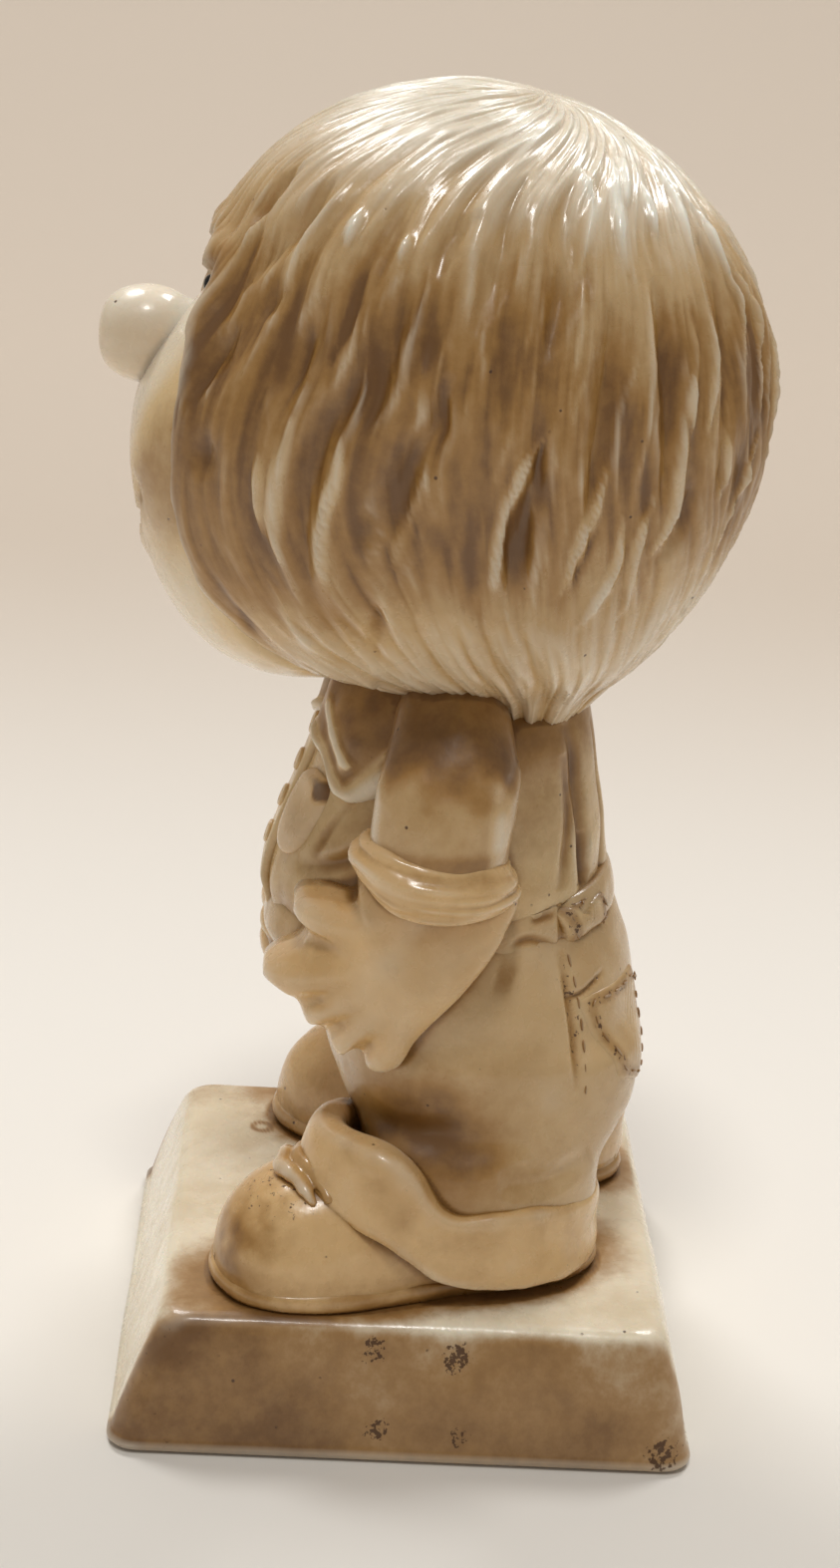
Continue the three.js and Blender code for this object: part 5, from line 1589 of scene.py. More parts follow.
class BOWLER_OT_sleeves(bpy.types.Operator):
    """Cast the short sleeves and their rolled cuffs"""

    bl_idname = "bowler.sleeves"
    bl_label = "Sleeves"

    def execute(self, context):
        for name, side in SIDES:
            seed = 90 if side > 0 else 95
            sleeve = wobble(sleeve_shape(side), (6, 0.4, seed), (2.6, 0.12, seed + 1))
            points = sleeve[0]
            near = points * [side, 1, 1]
            creases = score(near, [(24.5, -2.5, 76), (25.2, -1.6, 70.5)], 1.3)
            creases = np.maximum(creases, score(near, [(24.5, 3.0, 76.5), (25.4, 3.4, 71)], 1.2))
            patchy = 0.25 * lump_noise(points, 4, seed + 5)
            ragged = 1.4 * lump_noise(points, 2.4, seed + 6) + 5 * patchy
            # the top of the sleeve, under the head, is painted darker: the head's shadow together with the
            # wash
            shoulder = ease(points[:, 2] + ragged, CUFF_Z + 8.0, CUFF_Z + 12.5)
            behind, before = np.abs(points[:, 1] - 6.2), np.abs(points[:, 1] + 6.6)
            worn = 1 - np.minimum(ease(behind, 0, 1.6), ease(before, 0, 1.2))
            wash_and_painted_light = 0.62 * shoulder + 0.5 * creases - 0.8 * worn * (1 - shoulder) + 0.22
            wash_and_painted_light += 0.45 * (1 - ease(points[:, 2] - CUFF_Z, 3.2, 4.6))
            shape = push(sleeve, -0.6 * creases - 0.6 * shoulder)
            cast(name + "_short_sleeve", shape, [name + "_sleeve"], "tan_resin", wash_and_painted_light + 0.6 * patchy)
            shape, wash_and_painted_light = cuff_shape(side)
            shape = wobble(shape, (5, 0.25, seed + 2), (1.8, 0.05, seed + 3))
            cast(name + "_rolled_cuff", shape, [name + "_cuff"], "bone_resin", wash_and_painted_light)
        return {"FINISHED"}


class BOWLER_OT_hands(bpy.types.Operator):
    """Cast the hand on the hip and the hand round the ball"""

    bl_idname = "bowler.hands"
    bl_label = "Hands"

    def execute(self, context):
        shape, stain = left_hand_shape()
        cast("left_hand_on_hip", wobble(shape, (5, 0.2, 101)), ["left_hand"], "bone_resin", stain)
        shape = wobble(right_hand_shape(), (5, 0.2, 103))
        points = shape[0]
        heights = BALL_CENTRE[2] + 1.75 - FINGER_SPACING * np.arange(3)
        between = np.abs(points[:, 2:] - heights).min(1)
        crease = (1 - ease(between, 0.2, 1.0)) * ease(points[:, 0] - BALL_CENTRE[0], 7, 10)
        cast("right_hand_on_ball", push(shape, -0.35 * crease), ["right_hand"], "bone_resin", 0.8 * crease)
        return {"FINISHED"}


class BOWLER_OT_ball(bpy.types.Operator):
    """Cast the ball with its three finger holes"""

    bl_idname = "bowler.ball"
    bl_label = "Bowling ball"

    def execute(self, context):
        radius = mm(settings().hands.ball_radius)
        hole = mm(settings().hands.ball_hole_radius)
        lump = Clay(BALL_LOW - 2, BALL_HIGH + 2, 0.26)
        lump.press(sphere(BALL_CENTRE, (0, 0, radius), radius, around=128, rows=100), 0.1)
        for rise, turn in ((-24, 4), (-24, 24), (2, 14)):
            up, round_ = math.radians(rise), math.radians(250 + turn)
            way = np.array([-math.sin(round_) * math.cos(up), math.cos(round_) * math.cos(up), math.sin(up)])
            ends = [BALL_CENTRE + way * (radius + reach) for reach in (-5, 0, 3)]
            lump.press(limb([[*end, hole, hole] for end in ends], around=32, rows=30, bluntness=12), 0.4, -1)
        cast("bowling_ball", wobble(lump.skin(), (6, 0.12, 105)), ["bowling_ball"], "brown_stained_resin")
        return {"FINISHED"}


# Head


def head_points(direction, radii, half_width, power, rise):
    """Points of the head for directions of unit length: the side outline swept over the width."""
    x, y, z = direction.T
    level = np.hypot(y, z)
    stretch = (np.abs(x) ** power + level**power) ** (-1 / power)
    reach = (round_curve(radii, np.arctan2(z, y)) + rise) * stretch
    return np.column_stack([x * (half_width + rise) * stretch, y * reach, z * reach]) + HEAD_CENTRE


def polar(fall, turn):
    return np.column_stack([np.sin(fall) * np.cos(turn), np.sin(fall) * np.sin(turn), np.cos(fall)])


def tilted(direction, tilt):
    x, y, z = direction.T
    return np.column_stack([x, y * np.cos(tilt) - z * np.sin(tilt), y * np.sin(tilt) + z * np.cos(tilt)])


def pole_grid(around, down):
    """Falls and turns of a grid from pole to pole, rows by around."""
    fall = np.pi * np.arange(1, down) / down
    return (grid.ravel() for grid in np.meshgrid(fall, round_angles(around), indexing="ij"))


def head_shape():
    """Face and skull in one, its poles at the sides so that the face is evenly covered."""
    around, down = 260, 150
    fall, turn = pole_grid(around, down)
    direction = polar(fall, turn)[:, [2, 0, 1]]
    points = head_points(direction, *FACE, 0)
    ends = head_points(np.array([[1.0, 0, 0], [-1.0, 0, 0]]), *FACE, 0)
    return tube(ends[0], points.reshape(down - 1, around, 3), ends[1])


def smile_path():
    share = np.linspace(-1, 1, 9)
    direction = np.column_stack([0.34 * share, -np.ones(9), -0.42 + 0.12 * share**2])
    direction /= np.linalg.norm(direction, axis=1, keepdims=True)
    return head_points(direction, *FACE, 0)


class BOWLER_OT_head(bpy.types.Operator):
    """Cast the head and face"""

    bl_idname = "bowler.head"
    bl_label = "Head"

    def execute(self, context):
        head = settings().head
        shape = wobble(head_shape(), (12, 0.3, 111), (4, 0.08, 112))
        points = shape[0]
        smile = smile_path()
        deep = mm(head.smile_depth)
        depth = -deep * score(points, smile, 1.0)
        stain = 0.9 * score(points, smile, 0.9)
        lip = smile[2:-2] - [0, 0, 2.6]
        depth += 0.5 * score(points, lip, 2.6)
        for side in (1, -1):
            dimple = smile[-1 if side > 0 else 0]
            depth -= 0.8 * (1 - ease(away(points, dimple), 0, 2.0))
            depth += 1 - ease(away(points, HEAD_CENTRE + [side * 13, -31, -6]), 2, 12)
        depth -= 2.6 * ease(from_face(points), 0.8, 4.0)
        # paler round the nose, and paler low on the chin, painted with the light thrown up from the floor
        from_nose = away(points, HEAD_CENTRE + [0, -33, 2])
        stain -= 0.9 * (1 - ease(from_nose, 8, 15)) + 0.5 * ease(HEAD_CENTRE[2] - 12 - points[:, 2], 0, 9)
        cheek = np.abs(np.abs(points[:, 0]) - 12) + np.abs(points[:, 2] - HEAD_CENTRE[2] + 8)
        stain += 0.35 * (1 - ease(cheek, 4, 14)) + 0.45 * ease(from_face(points), -2.2, 0.2)
        cast("head_and_face", push(shape, depth), ["head"], "ivory_resin", stain)
        return {"FINISHED"}


class BOWLER_OT_nose(bpy.types.Operator):
    """Cast the round nose"""

    bl_idname = "bowler.nose"
    bl_label = "Nose"

    def execute(self, context):
        radius = mm(settings().head.nose_radius)
        low, high = box_mm("nose")
        x, _, z = (low + high) / 2
        tip = low[1]
        lump = Clay([-9, tip - 2, z - 9], [9, tip + 22, z + 9], 0.24)
        lump.press(sphere((x, tip + radius, z), (0, 1.02 * radius, 0), radius, around=90, rows=80), 0.1)
        widths = ((7, 0.6), (11, 0.66), (16, 0.8))
        root = [[x, tip + reach, z + 0.4, radius * wide, radius * wide] for reach, wide in widths]
        lump.press(limb(root, around=60, rows=40, bluntness=4), 0.9)
        shape = wobble(lump.skin(), (5, 0.2, 113))
        _, y, height = shape[0].T
        # paler all over, and paler still on top as a painted highlight, and towards the root
        wiped_and_highlit = 0.75 + 0.3 * ease(height, z, z + radius) + 0.6 * ease(y, tip + 6, tip + 10)
        cast("nose_bulb", shape, ["nose"], "bone_resin", -wiped_and_highlit)
        return {"FINISHED"}


class BOWLER_OT_eyes(bpy.types.Operator):
    """Set the two bead eyes in the face"""

    bl_idname = "bowler.eyes"
    bl_label = "Eyes"

    def execute(self, context):
        radius = mm(settings().head.eye_radius)
        for name, _ in SIDES:
            low, high = box_mm(name + "_eye")
            x, _, z = (low + high) / 2
            bead = sphere((x, low[1] + radius - 0.1, z), (0, 0, 1.04 * radius), radius, around=48, rows=36)
            cast(name + "_bead_eye", bead, [name + "_eye"], "black_bead")
        return {"FINISHED"}


# Hair

# Strokes drawn on the left side of the hair and mirrored to the right, each a line of turn and fall
# in degrees: the turn goes from the ear to the nape, the fall goes down from the whorl.
# Long hollows pressed in between the locks
LOCK_HOLLOWS = (
    [(-57, 49), (-60, 61)], [(-44, 50), (-46, 59), (-53, 69)], [(-50, 75), (-51, 80), (-52, 87)],
    [(-33, 68), (-35, 78), (-34, 87)], [(-24, 74), (-27, 90), (-31, 109)],
    [(-18, 62), (-20, 74), (-21, 86)], [(-9, 78), (-13, 93), (-20, 112)], [(-6, 41), (-4, 54), (-6, 70)],
    [(7, 40), (10, 56), (7, 72)], [(8, 87), (4, 103), (0, 118)], [(20, 62), (19, 80), (16, 102)],
    [(31, 58), (33, 80), (32, 100)], [(50, 48), (51, 70), (46, 100)], [(68, 58), (66, 86)],
)
# Small hollows beside them
SMALL_HOLLOWS = (
    [(-41, 67), (-46, 72)], [(-13, 62), (-14, 78)], [(-46, 90), (-47, 95)], [(-18, 98), (-20, 104)],
    [(-1, 85), (-2, 105), (-5, 115)], [(40, 98), (36, 108), (32, 114)], [(-10, 50), (-14, 55), (-14, 62)],
    [(60, 40), (64, 62), (60, 84)], [(74, 50), (77, 74), (74, 98)], [(84, 46), (86, 70), (83, 100)],
)
# Broad ridges: the rounded edges of the large locks
LOCK_EDGES = (
    [(-54, 44), (-50, 50), (-52, 56), (-58, 60), (-66, 63), (-72, 67)],
    [(-36, 50), (-39, 54), (-40, 59), (-45, 63), (-52, 67)],
    [(-52, 86), (-50, 96), (-50, 103), (-52, 110), (-56, 118)],
    [(-60, 72), (-58, 80), (-58, 92), (-56, 99), (-56, 108)], [(-26, 62), (-26, 74), (-30, 90)],
    [(-10, 72), (-12, 84), (-8, 96)], [(14, 60), (14, 76), (12, 92)], [(26, 56), (27, 80), (24, 104)],
)
# Thin pale ridges
THIN_RIDGES = (
    [(-33, 54), (-32, 60)], [(-22, 56), (-22, 61)], [(6, 35), (14, 43), (14, 51), (12, 58)],
    [(14, 28), (20, 40), (23, 49), (24, 56)], [(20, 29), (24, 42)], [(29, 37), (34, 48)],
    [(35, 26), (44, 40), (44, 52)], [(44, 34), (55, 44), (56, 56), (58, 63), (56, 72), (54, 78)],
    [(64, 56), (69, 67), (65, 76), (62, 88)], [(45, 64), (44, 76), (42, 87)], [(38, 76), (38, 87)],
    [(-24, 88), (-23, 93), (-25, 98), (-27, 104), (-28, 109)],
    [(-32, 86), (-32, 90), (-33, 98), (-34, 106)], [(-36, 91), (-36, 102)],
    [(-10, 92), (-14, 100), (-18, 108)], [(-38, 109), (-38, 115), (-40, 122), (-40, 128)],
    [(8, 86), (2, 96), (0, 105), (-2, 114)], [(20, 92), (18, 99), (14, 106), (10, 116)],
    [(23, 102), (22, 111), (19, 117), (13, 124)], [(30, 98), (26, 110), (25, 121), (22, 126)],
    [(36, 84), (36, 93), (34, 104), (29, 112)], [(48, 86), (48, 98), (46, 103)],
    [(62, 92), (56, 101), (50, 116)], [(72, 44), (77, 62), (73, 84), (70, 104)],
    [(80, 40), (85, 58), (82, 80), (78, 106)], [(88, 44), (93, 66), (90, 88), (87, 112)],
)
# Thin cracks that hold the stain
CRACKS = (
    [(-27, 63), (-27, 69), (-30, 78)], [(-48, 115), (-54, 124)], [(-22, 115), (-25, 120), (-31, 130)],
    [(18, 104), (15, 110), (12, 116)], [(-6, 72), (-7, 84)], [(40, 60), (41, 72)],
)


def face_opening():
    """The edge of the hair round the face, seen from the front as x and z."""
    half = [(0, 0.47), (0.11, 0.45), (0.17, 0.48), (0.245, 0.44), (0.3, 0.36), (0.36, 0.39), (0.44, 0.25)]
    half += [(0.52, 0.065), (0.555, -0.19), (0.535, -0.48), (0.47, -0.71), (0.4, -0.9), (0.32, -1.1)]
    right = [(x * HEAD_RADIUS, HEAD_CENTRE[2] + rise * HEAD_RADIUS) for x, rise in half]
    return np.array(right + [(-x, height) for x, height in right[:0:-1]])


def edge_distance(points, outline):
    """Distance to a closed outline in x and z, negative inside it."""
    flat = points[:, [0, 2]]
    nearest = np.full(len(flat), np.inf)
    inside = np.zeros(len(flat), bool)
    for start, end in zip(outline, np.roll(outline, -1, axis=0)):
        way = end - start
        along = np.clip((flat - start) @ way / (way @ way), 0, 1)
        nearest = np.minimum(nearest, np.linalg.norm(flat - start - along[:, None] * way, axis=1))
        spans = (start[1] > flat[:, 1]) != (end[1] > flat[:, 1])
        rise = end[1] - start[1]
        crossing = start[0] + (flat[:, 1] - start[1]) * way[0] / (rise if rise else 1)
        inside ^= spans & (flat[:, 0] < crossing)
    return np.where(inside, -nearest, nearest)


def from_face(points):
    """How far outside the face's opening each point of the head lies, 20 or more at the back."""
    return np.where(points[:, 1] < HEAD_CENTRE[1] - 10, edge_distance(points, face_opening()), 20)


def strokes(ball, lines, width, sharp=1.0):
    """How strongly any of the lines marks each point of a ball of the head's radius, 0 to 1."""
    marks = np.zeros(len(ball))
    for line in lines:
        turn, fall = np.radians(line).T
        path = smooth_path(polar(fall, turn) * HEAD_RADIUS, 4 * len(line))
        near = np.all((ball > path.min(0) - width) & (ball < path.max(0) + width), axis=1)
        distance, along = path_distance(ball[near], path)
        ends = np.clip(np.minimum(along, 1 - along) * 3, 0, 1) ** 0.8
        depth = np.clip(1 - distance / (width * (0.35 + 0.65 * ends)), 0, 1)
        depth = depth * depth * (3 - 2 * depth) if sharp == 1.0 else depth**sharp
        marks[near] = np.maximum(marks[near], depth * (0.25 + 0.75 * ends))
    return marks


def hair_shape():
    """The cap of hair before it is combed, with its strokes, and each point's marks."""
    hair = settings().hair
    around, down = 560, 172
    fall, turn = pole_grid(around, down)
    swirl = 0.5 * (1 - ease(fall, 0, 0.9))
    tilt = mix(-WHORL_TILT, NAPE_TILT, ease(fall, 0, math.pi))
    direction = tilted(polar(fall, turn + swirl), tilt)
    ball = polar(fall, turn) * HEAD_RADIUS
    right = ball[:, 0] < 0
    ball[:, 0] = np.abs(ball[:, 0])
    uneven = np.stack([lump_noise(ball, 12, 126 + axis) for axis in range(3)], -1)
    ball += np.where(right[:, None], 2.2, 0.25) * uneven

    hollows = strokes(ball, LOCK_HOLLOWS, 2.2)
    small = strokes(ball, SMALL_HOLLOWS, 1.8)
    edges = strokes(ball, LOCK_EDGES, 2.3)
    ridges = strokes(ball, THIN_RIDGES, 0.95, 1.4)
    cracks = strokes(ball, CRACKS, 0.8, 1.2)
    rise = 0.4 * mm(hair.ridge_height) * edges + mm(hair.ridge_height) * ridges - 0.4 * cracks
    rise -= np.maximum(mm(hair.hollow_depth) * hollows, 0.55 * mm(hair.hollow_depth) * small)

    smooth = head_points(direction, *HAIR, 0)
    edge = from_face(smooth) + 0.35 * lump_noise(smooth, 3.2, 127)
    rim = np.exp(-(((edge - 2.0) / 1.5) ** 2))
    beside_eye = np.exp(-(((smooth[:, 2] - HEAD_CENTRE[2] - 9) / 8) ** 2)) * ease(np.abs(smooth[:, 0]), 5, 9)
    rise += (0.45 + 1.0 * beside_eye) * rim
    inside = ease(edge, -0.4, 1.3)
    rise = mix(-3.6, rise, inside)
    points = head_points(direction, *HAIR, rise)
    # the lowest hair runs down into the back of the shirt
    _, neck_y, _, neck_wide, neck_deep, *_ = shirt_stations()[-2]
    reach = np.hypot(points[:, 0] / neck_wide, (points[:, 1] - neck_y) / neck_deep)
    low = 1 - ease(points[:, 2], NECKLINE_Z - 2, NECKLINE_Z + 9)
    behind = ease(points[:, 1], 2, 12)
    points[:, 2] -= 3.4 * low * behind * np.exp(-(((reach - 0.95) / 0.3) ** 2))
    ends = tilted(polar(np.array([0, math.pi]), np.zeros(2)), np.array([-WHORL_TILT, NAPE_TILT]))
    poles = head_points(ends, *HAIR, 0)

    fade = ease(fall, 0.02, 0.3) * (1 - ease(fall, 2.75, 3.05)) * inside
    # painted light down the head, together with the wash: the crown is painted pale as the highlight of the
    # lamp above, a band round the middle is painted darker as shade with the wash in it, and the lowest hair
    # is painted paler with the light thrown up from the floor; after that come the wash in the hollows and
    # cracks and the pale ridges
    band = ease(fall, 0.85, 1.35) * (1 - 0.8 * ease(fall, 1.9, 2.3))
    streaks = strand_noise(turn / (2 * math.pi), fall / math.pi, 44, 4, 128)
    wash_and_painted_light = band * (0.76 + 0.16 * streaks) - 0.9 * (1 - ease(fall, 0.45, 1.0)) - 0.38 * ease(fall, 1.75, 2.2)
    wash_and_painted_light += (0.18 + 0.06 * band) * np.maximum(hollows, 0.8 * small) + 0.6 * cracks
    wash_and_painted_light -= (1.15 * ridges + 0.35 * edges) * (1 - 0.8 * hollows)
    bent = turn + 0.05 * lump_noise(smooth, 14, 129)
    comb = np.column_stack([np.cos(bent), np.sin(bent), fall])
    marks = {"fade": fade, "stain": wash_and_painted_light, "comb": comb}
    marks = {name: np.concatenate([values[:1], values, values[-1:]]) for name, values in marks.items()}
    return tube(poles[0], points.reshape(down - 1, around, 3), poles[1]), marks


class BOWLER_OT_hair(bpy.types.Operator):
    """Model and comb the hair"""

    bl_idname = "bowler.hair"
    bl_label = "Hair"

    def execute(self, context):
        hair = settings().hair
        shape, marks = hair_shape()
        shape = wobble(shape, (9, 0.25, 131))
        values = {
            "Locks": hair.lock_count / (2 * math.pi),
            "Lock Depth": hair.lock_depth,
            "Strands": HEAD_RADIUS / mm(hair.strand_spacing),
            "Strand Depth": hair.strand_depth,
            "Wash": hair.wash,
            "Seed": hair.seed,
            "Material": finish_for("tan_resin"),
        }
        place_piece("combed_hair", grown(arrays_mesh("hair_cap", shape, **marks), combed_tree(), values),
                    ["hair"], "tan_resin")
        return {"FINISHED"}


# Stain and shade: the brown wash that the maker rubbed in, left where the surface is hollow, and painted
# shade where pieces shelter one another


def solid_share(pieces, voxel):
    """How full of resin each voxel is, with the grid's first index."""
    low = np.floor(np.array(CAD_BOX[0]) / MM / voxel).astype(int) - 8
    high = np.ceil(np.array(CAD_BOX[1]) / MM / voxel).astype(int) + 8
    share = np.zeros(high - low, np.float32)
    for points, faces in pieces:
        values = skin_distances(points, faces[:, [0, 1, 2, 2]], voxel, 3, low, share.shape)
        share = np.maximum(share, np.clip(0.5 - values, 0, 1))
    return share, low


def blurred(share, radius):
    """The grid blurred by three box passes along each axis."""
    width = 2 * radius + 1
    for axis in range(3):
        for _ in range(3):
            total = np.cumsum(share, axis=axis, dtype=np.float64)
            ahead = np.roll(total, -radius, axis)
            behind = np.roll(total, radius + 1, axis)
            share = ((ahead - behind) / width).astype(np.float32)
            share = np.clip(share, 0, 1)
    return share


def read_grid(grid, places):
    cell = np.clip(np.floor(places).astype(int), 0, np.array(grid.shape) - 2)
    return between_cells(grid, cell, np.clip(places - cell, 0, 1))


def mesh_arrays(mesh):
    points = np.empty(len(mesh.vertices) * 3, np.float32)
    mesh.vertices.foreach_get("co", points)
    normals = np.empty(len(mesh.vertices) * 3, np.float32)
    mesh.vertex_normals.foreach_get("vector", normals)
    mesh.calc_loop_triangles()
    corners = np.empty(len(mesh.loop_triangles) * 3, np.int32)
    mesh.loop_triangles.foreach_get("vertices", corners)
    return points.reshape(-1, 3) / MM, normals.reshape(-1, 3), corners.reshape(-1, 3)


class BOWLER_OT_stain(bpy.types.Operator):
    """Rub the brown stain into the hollows of every piece and paint shade where other pieces shelter it"""

    bl_idname = "bowler.stain"
    bl_label = "Stain"

    def execute(self, context):
        pieces = [piece for piece in bpy.data.objects if piece.get("cast")]
        if not pieces:
            raise RuntimeError("there is no piece to stain yet")
        arrays = [mesh_arrays(piece.data) for piece in pieces]
        voxel = 0.6
        share, first = solid_share([(points, corners) for points, _, corners in arrays], voxel)
        fine = blurred(share, 1)
        broad = blurred(share, 4)
        places = [(points + 0.25 * normals) / voxel - first for points, normals, _ in arrays]
        nears = [read_grid(fine, place) for place in places]
        base = np.median([level for near in nears for level in near[near < 0.75]])
        for piece, place, near in zip(pieces, places, nears):
            far = read_grid(broad, place)
            # the fine blur finds creases, where the wash gathers; the broad blur finds places that other
            # pieces shelter, as under the chin, and paints them darker as shade
            crease, shelter = (0.35, 0.15) if piece.name == "combed_hair" else (1.0, 0.85)
            hollow = ease(near - base, 0.03, 0.28) * crease + ease(far, 0.48, 0.8) * shelter
            add_mark(piece.data, "hollow", np.clip(hollow, 0, 1))
            add_mark(piece.data, "proud", ease(base - near, 0.04, 0.18))
        return {"FINISHED"}


# Materials


def finish_for(slot):
    """The material for one of the frame's slots, whose first word names its colour."""
    name = "glass_bead" if slot == "black_bead" else "poured_" + slot
    if name in bpy.data.materials:
        return bpy.data.materials[name]
    if slot == "black_bead":
        return glass_bead(name)
    return poured_resin(name, getattr(settings().resin, slot.split("_")[0]))


def new_material(name):
    """An empty material, and what adds a node to it."""
    made = bpy.data.materials.new(name)
    made.use_nodes = True
    made.node_tree.nodes.clear()
    return made, partial(add, made.node_tree)


def finish_material(made, inputs):
    """Ends a material in one surface with the given inputs."""
    surface = add(made.node_tree, "ShaderNodeBsdfPrincipled", inputs=inputs)
    add(made.node_tree, "ShaderNodeOutputMaterial", inputs={"Surface": surface})
    return made


def poured_resin(name, body):
    """Polyester resin poured in a rubber mould, polished, with a brown wash wiped into its hollows.

    The eye sees an ivory body that is cloudy inside, soft deep light at thin places, brown lines in
    each crease, pale rubbed crests, a few dark pinholes from bubbles and a bright uneven gloss.
    """
    made, node = new_material(name)
    resin = settings().resin
    place = node("ShaderNodeTexCoord", output="Object")
    own = {}
    for mark in ("hollow", "proud", "stain", "flecks", "comb"):
        output = "Vector" if mark == "comb" else "Fac"
        own[mark] = node("ShaderNodeAttribute", {"attribute_name": mark}, output=output)
    # noises, by the size of their lumps in millimetres, their detail and how rough they are
    lumps = {
        "cloud": (11, 3, 0.6),
        "rag": (1.5, 4, 0.65),
        "bubbles": (3.1, 1, 0.5),
        "specks": (0.6, 3, 0.6),
        "wear": (2.2, 3, 0.5),
        "grain": (0.55, 3, 0.5),
        "swell": (2.4, 2, 0.5),
    }
    noise = {}
    for what, (size, detail, rough) in lumps.items():
        inputs = {"Vector": place, "Scale": 1 / (size * MM), "Detail": detail, "Roughness": rough}
        noise[what] = node("ShaderNodeTexNoise", inputs=inputs)

    # the body, clouded where the resin has set unevenly over about a centimetre
    cloud = [*(channel * factor for channel, factor in zip(body, (0.8, 0.74, 0.64))), 1.0]
    amount = node(MATHS, TIMES, (node(SPAN, SMOOTH, (noise["cloud"], 0.38, 0.66)), 0.7))
    colour = node(MIX, COLOURS, {0: amount, 6: [*body, 1.0], 7: cloud}, 2)
    # the wash, broken up as a rag leaves it: it stays in the hollows and is wiped off the crests. The same
    # marks carry painted shade and painted highlights, which these colours paint too
    gathered = node(MATHS, LARGER, (own["stain"], 0.0))
    wash_and_painted_light = node(MATHS, LARGER, (own["hollow"], gathered))
    wash_and_painted_light = node(MATHS, PLUS, (wash_and_painted_light, node(MATHS, TIMES, (gathered, 0.25))))
    wash_and_painted_light = node(MATHS, PLUS, (wash_and_painted_light, node(SPAN, SMOOTH, (noise["rag"], 0.3, 0.7, -0.08, 0.08))))
    wiped_and_highlit = (node(MATHS, TIMES, (own["stain"], -0.75)), node(MATHS, TIMES, (own["proud"], 0.4)))
    # pinholes a quarter of a millimetre wide, here and there, and flecks where the points bring them
    holes = node("ShaderNodeTexVoronoi", inputs={"Vector": place, "Scale": 1 / (2.3 * MM)})
    few = node(SPAN, SMOOTH, (noise["bubbles"], 0.58, 0.64))
    pits = node(MATHS, TIMES, (node(SPAN, SMOOTH, (holes, 0.1, 0.05)), few))
    dense = node(MATHS, PLUS, (noise["specks"], node(MATHS, TIMES, (own["flecks"], 0.2))))
    dense = node(SPAN, SMOOTH, (dense, 0.66, 0.72))
    flecks = node(MATHS, TIMES, (node(SPAN, SMOOTH, (own["flecks"], 0.02, 0.2)), dense))
    coats = (
        (node(SPAN, SMOOTH, (wash_and_painted_light, 0.0, 0.85, 0.0, resin.stain)), resin.wash),
        (node(SPAN, SMOOTH, (wash_and_painted_light, 0.65, 1.35, 0.0, 0.85)), resin.deep_wash),
        (node(MATHS, LARGER, wiped_and_highlit), resin.rubbed),
        (node(MATHS, TIMES, (node(MATHS, LARGER, (pits, flecks)), 0.9)), resin.fleck),
    )
    for amount, coat in coats:
        colour = node(MIX, COLOURS, {0: amount, 6: colour, 7: [*coat, 1.0]}, 2)

    # the polish is duller where stain lies
    dull = node(MATHS, LARGER, (gathered, node(MATHS, TIMES, (flecks, 3.0))))
    worn = node(SPAN, SMOOTH, (noise["wear"], 0.35, 0.7, resin.roughness - 0.07, resin.roughness + 0.09))
    gloss = node(MATHS, PLUS, (worn, node(MATHS, TIMES, (dull, 0.16))))
    # brush marks along the locks, about half a millimetre apart, only where the points bring a comb
    along = node("ShaderNodeVectorMath", TIMES, (own["comb"], (55, 55, 9)))
    marks = node("ShaderNodeTexNoise", inputs={"Vector": along, "Scale": 1.0, "Detail": 3.0})
    ripple = node(MATHS, MINUS, (node(MATHS, TIMES, (noise["grain"], 0.3)), pits))
    for waves, height in ((noise["swell"], 1.3), (marks, 1.1)):
        ripple = node(MATHS, PLUS, (ripple, node(MATHS, TIMES, (waves, height))))
    bump = node("ShaderNodeBump", inputs={"Height": ripple, "Strength": 0.4, "Distance": 0.14 * MM})
    inputs = {
        "Base Color": colour,
        "Roughness": gloss,
        "Normal": bump,
        "IOR": 1.54,
        "Subsurface Weight": 0.15,
        "Subsurface Radius": (1.0, 0.62, 0.36),
        "Subsurface Scale": 1.4 * MM,
        "Coat Weight": 0.25,
        "Coat Roughness": 0.1,
    }
    return finish_material(made, inputs)


def glass_bead(name):
    """Polished black glass bead: a deep black with one sharp light in it."""
    made, node = new_material(name)
    place = node("ShaderNodeTexCoord", output="Object")
    specks = node("ShaderNodeTexNoise", inputs={"Vector": place, "Scale": 1 / (0.5 * MM)})
    gloss = node(SPAN, inputs=(specks, 0.4, 0.8, 0.06, 0.16))
    colour = [*settings().resin.glass, 1.0]
    return finish_material(made, {"Base Color": colour, "Roughness": gloss, "IOR": 1.5})


# Stage


def paper():
    """Matt drawing paper: nearly white by the figurine and painted darker, a warm grey, further back as
    shade.
    """
    made, node = new_material("drawing_paper")
    stage = settings().stage
    place = node("ShaderNodeTexCoord", output="Object")
    back = node(SPAN, SMOOTH, (node("ShaderNodeSeparateXYZ", inputs=(place,), output="X"), -0.02, -0.36))
    colour = node(MIX, COLOURS, {0: back, 6: [*stage.near_floor, 1.0], 7: [*stage.shaded_far_floor, 1.0]}, 2)
    return finish_material(made, {"Base Color": colour, "Roughness": 0.85})


def build_sweep():
    """Floor and wall in one curved sheet behind the figurine."""
    near, far, radius, top, half = 1.2, -1.1, 0.5, 1.6, 1.8
    profile = [(near, 0.0), (0.3, 0.0), (far + radius, 0.0)]
    profile += [(far + radius - radius * math.sin(a), radius - radius * math.cos(a))
                for a in np.linspace(0.1, math.pi / 2, 16)]
    profile.append((far, top))
    points = [(x, y, z) for x, z in profile for y in (-half, half)]
    faces = [(2 * i, 2 * i + 1, 2 * i + 3, 2 * i + 2) for i in range(len(profile) - 1)]
    mesh = bpy.data.meshes.new("paper_sweep")
    mesh.from_pydata(points, [], faces)
    for face in mesh.polygons:
        face.use_smooth = True
    mesh.materials.append(paper())
    new_object("paper_sweep", mesh)


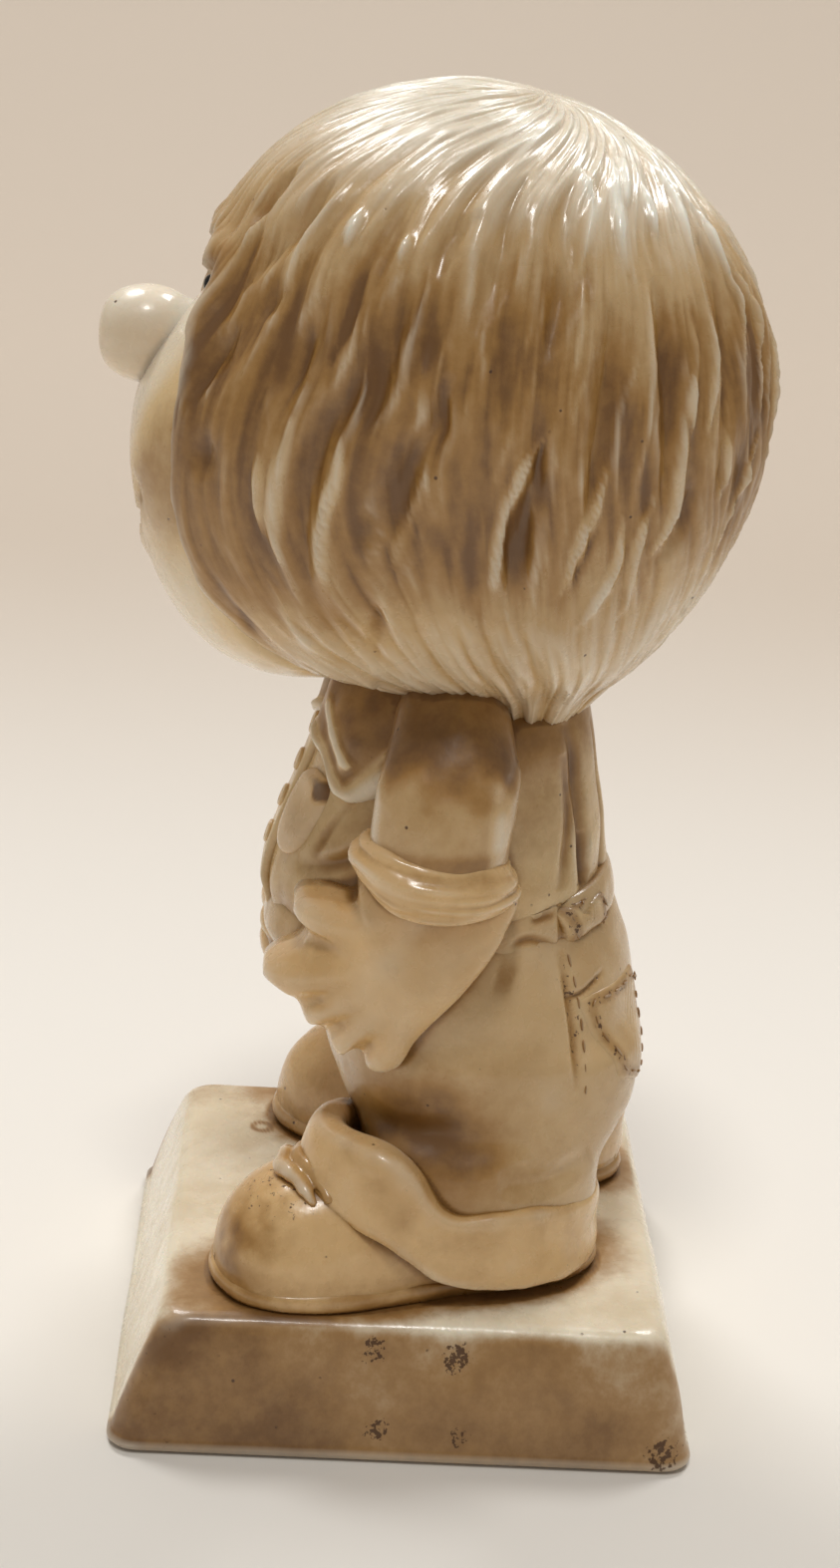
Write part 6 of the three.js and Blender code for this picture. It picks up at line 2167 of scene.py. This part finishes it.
def add_lamp(name, place, target, size, power, colour):
    light = bpy.data.lights.new(name, "AREA")
    light.shape = "DISK"
    light.size = size
    light.energy = power
    light.color = linear(colour)[:3]
    lamp = new_object(name, light)
    lamp.location = place
    lamp.rotation_euler = (Vector(target) - Vector(place)).to_track_quat("-Z", "Y").to_euler()


class BOWLER_OT_stage(bpy.types.Operator):
    """Lay out the paper, the lamps and the camera"""

    bl_idname = "bowler.stage"
    bl_label = "Stage"

    def execute(self, context):
        stage = settings().stage
        build_sweep()
        add_lamp("front_back_lamp", (-0.8, -0.5, 1.45), (0, 0, 0.05), 0.5, stage.back_power, "ffffff")
        add_lamp("rear_back_lamp", (-0.8, 0.6, 1.5), (0, 0, 0.05), 0.5, stage.back_power, "ffffff")
        add_lamp("ceiling_lamp", (0.6, -0.1, 1.75), (0, 0, 0.05), 0.3, stage.ceiling_power, "fffdfa")
        world = bpy.data.worlds.new("room_light")
        world.use_nodes = True
        background = world.node_tree.nodes["Background"]
        background.inputs["Color"].default_value = linear("f6f3ee")
        background.inputs["Strength"].default_value = stage.room_light
        bpy.context.scene.world = world
        bpy.context.scene.view_settings.view_transform = "Standard"
        build_camera()
        return {"FINISHED"}


def build_camera():
    """The camera of the photo, fitted to the plinth's edges. Focal length is in pixels of its height."""
    place = Vector((276.71, -12.89, 164.17)) * MM
    yaw, pitch, roll, focal, image_height = -0.0422, 0.3435, 0.0657, 2719.9, 1573
    forward = -Vector((math.cos(yaw) * math.cos(pitch), math.sin(yaw) * math.cos(pitch), math.sin(pitch)))
    level = forward.cross(Vector((0, 0, 1))).normalized()
    upright = level.cross(forward)
    right = math.cos(roll) * level + math.sin(roll) * upright
    up = math.cos(roll) * upright - math.sin(roll) * level
    view = bpy.data.cameras.new("photo_camera")
    camera = new_object("photo_camera", view)
    camera.matrix_world = Matrix.Translation(place) @ Matrix((right, up, -forward)).transposed().to_4x4()
    view.sensor_fit = "VERTICAL"
    view.sensor_height = 36
    view.lens = focal * 36 / image_height
    view.clip_start = 0.01
    view.clip_end = 10
    bpy.context.scene.camera = camera


# Operators and panel


OPERATORS = (
    BOWLER_OT_stage,
    BOWLER_OT_plinth,
    BOWLER_OT_shoes,
    BOWLER_OT_turn_ups,
    BOWLER_OT_trousers,
    BOWLER_OT_pockets,
    BOWLER_OT_shirt,
    BOWLER_OT_trim,
    BOWLER_OT_buttons,
    BOWLER_OT_sleeves,
    BOWLER_OT_hands,
    BOWLER_OT_ball,
    BOWLER_OT_head,
    BOWLER_OT_nose,
    BOWLER_OT_eyes,
    BOWLER_OT_hair,
    BOWLER_OT_stain,
)

GROUPS = ("plinth", "feet", "clothes", "hands", "head", "hair", "resin", "stage")


class BOWLER_PT_figurine(bpy.types.Panel):
    """The figurine's pieces, in the order they are cast, and their settings."""

    bl_idname = "BOWLER_PT_figurine"
    bl_label = "Cast Resin Bowler"
    bl_space_type = "VIEW_3D"
    bl_region_type = "UI"
    bl_category = "Bowler"

    def draw(self, context):
        column = self.layout.column(align=True)
        for made in OPERATORS:
            column.operator(made.bl_idname)
        for group in GROUPS:
            box = self.layout.box()
            box.label(text=group.capitalize())
            values = getattr(context.scene.bowler, group)
            for name in values.__annotations__:
                box.prop(values, name)


CLASSES = (
    PlinthSettings,
    FeetSettings,
    ClothesSettings,
    HandSettings,
    HeadSettings,
    HairSettings,
    ResinSettings,
    StageSettings,
    BowlerSettings,
    *OPERATORS,
    BOWLER_PT_figurine,
)


def register():
    for made in CLASSES:
        bpy.utils.register_class(made)
    bpy.types.Scene.bowler = PointerProperty(type=BowlerSettings, name="Bowler", description="The figurine")


def unregister():
    del bpy.types.Scene.bowler
    for made in reversed(CLASSES):
        bpy.utils.unregister_class(made)


def main():
    register()
    for made in OPERATORS:
        group, name = made.bl_idname.split(".")
        getattr(getattr(bpy.ops, group), name)()


if __name__ == "__main__":
    main()
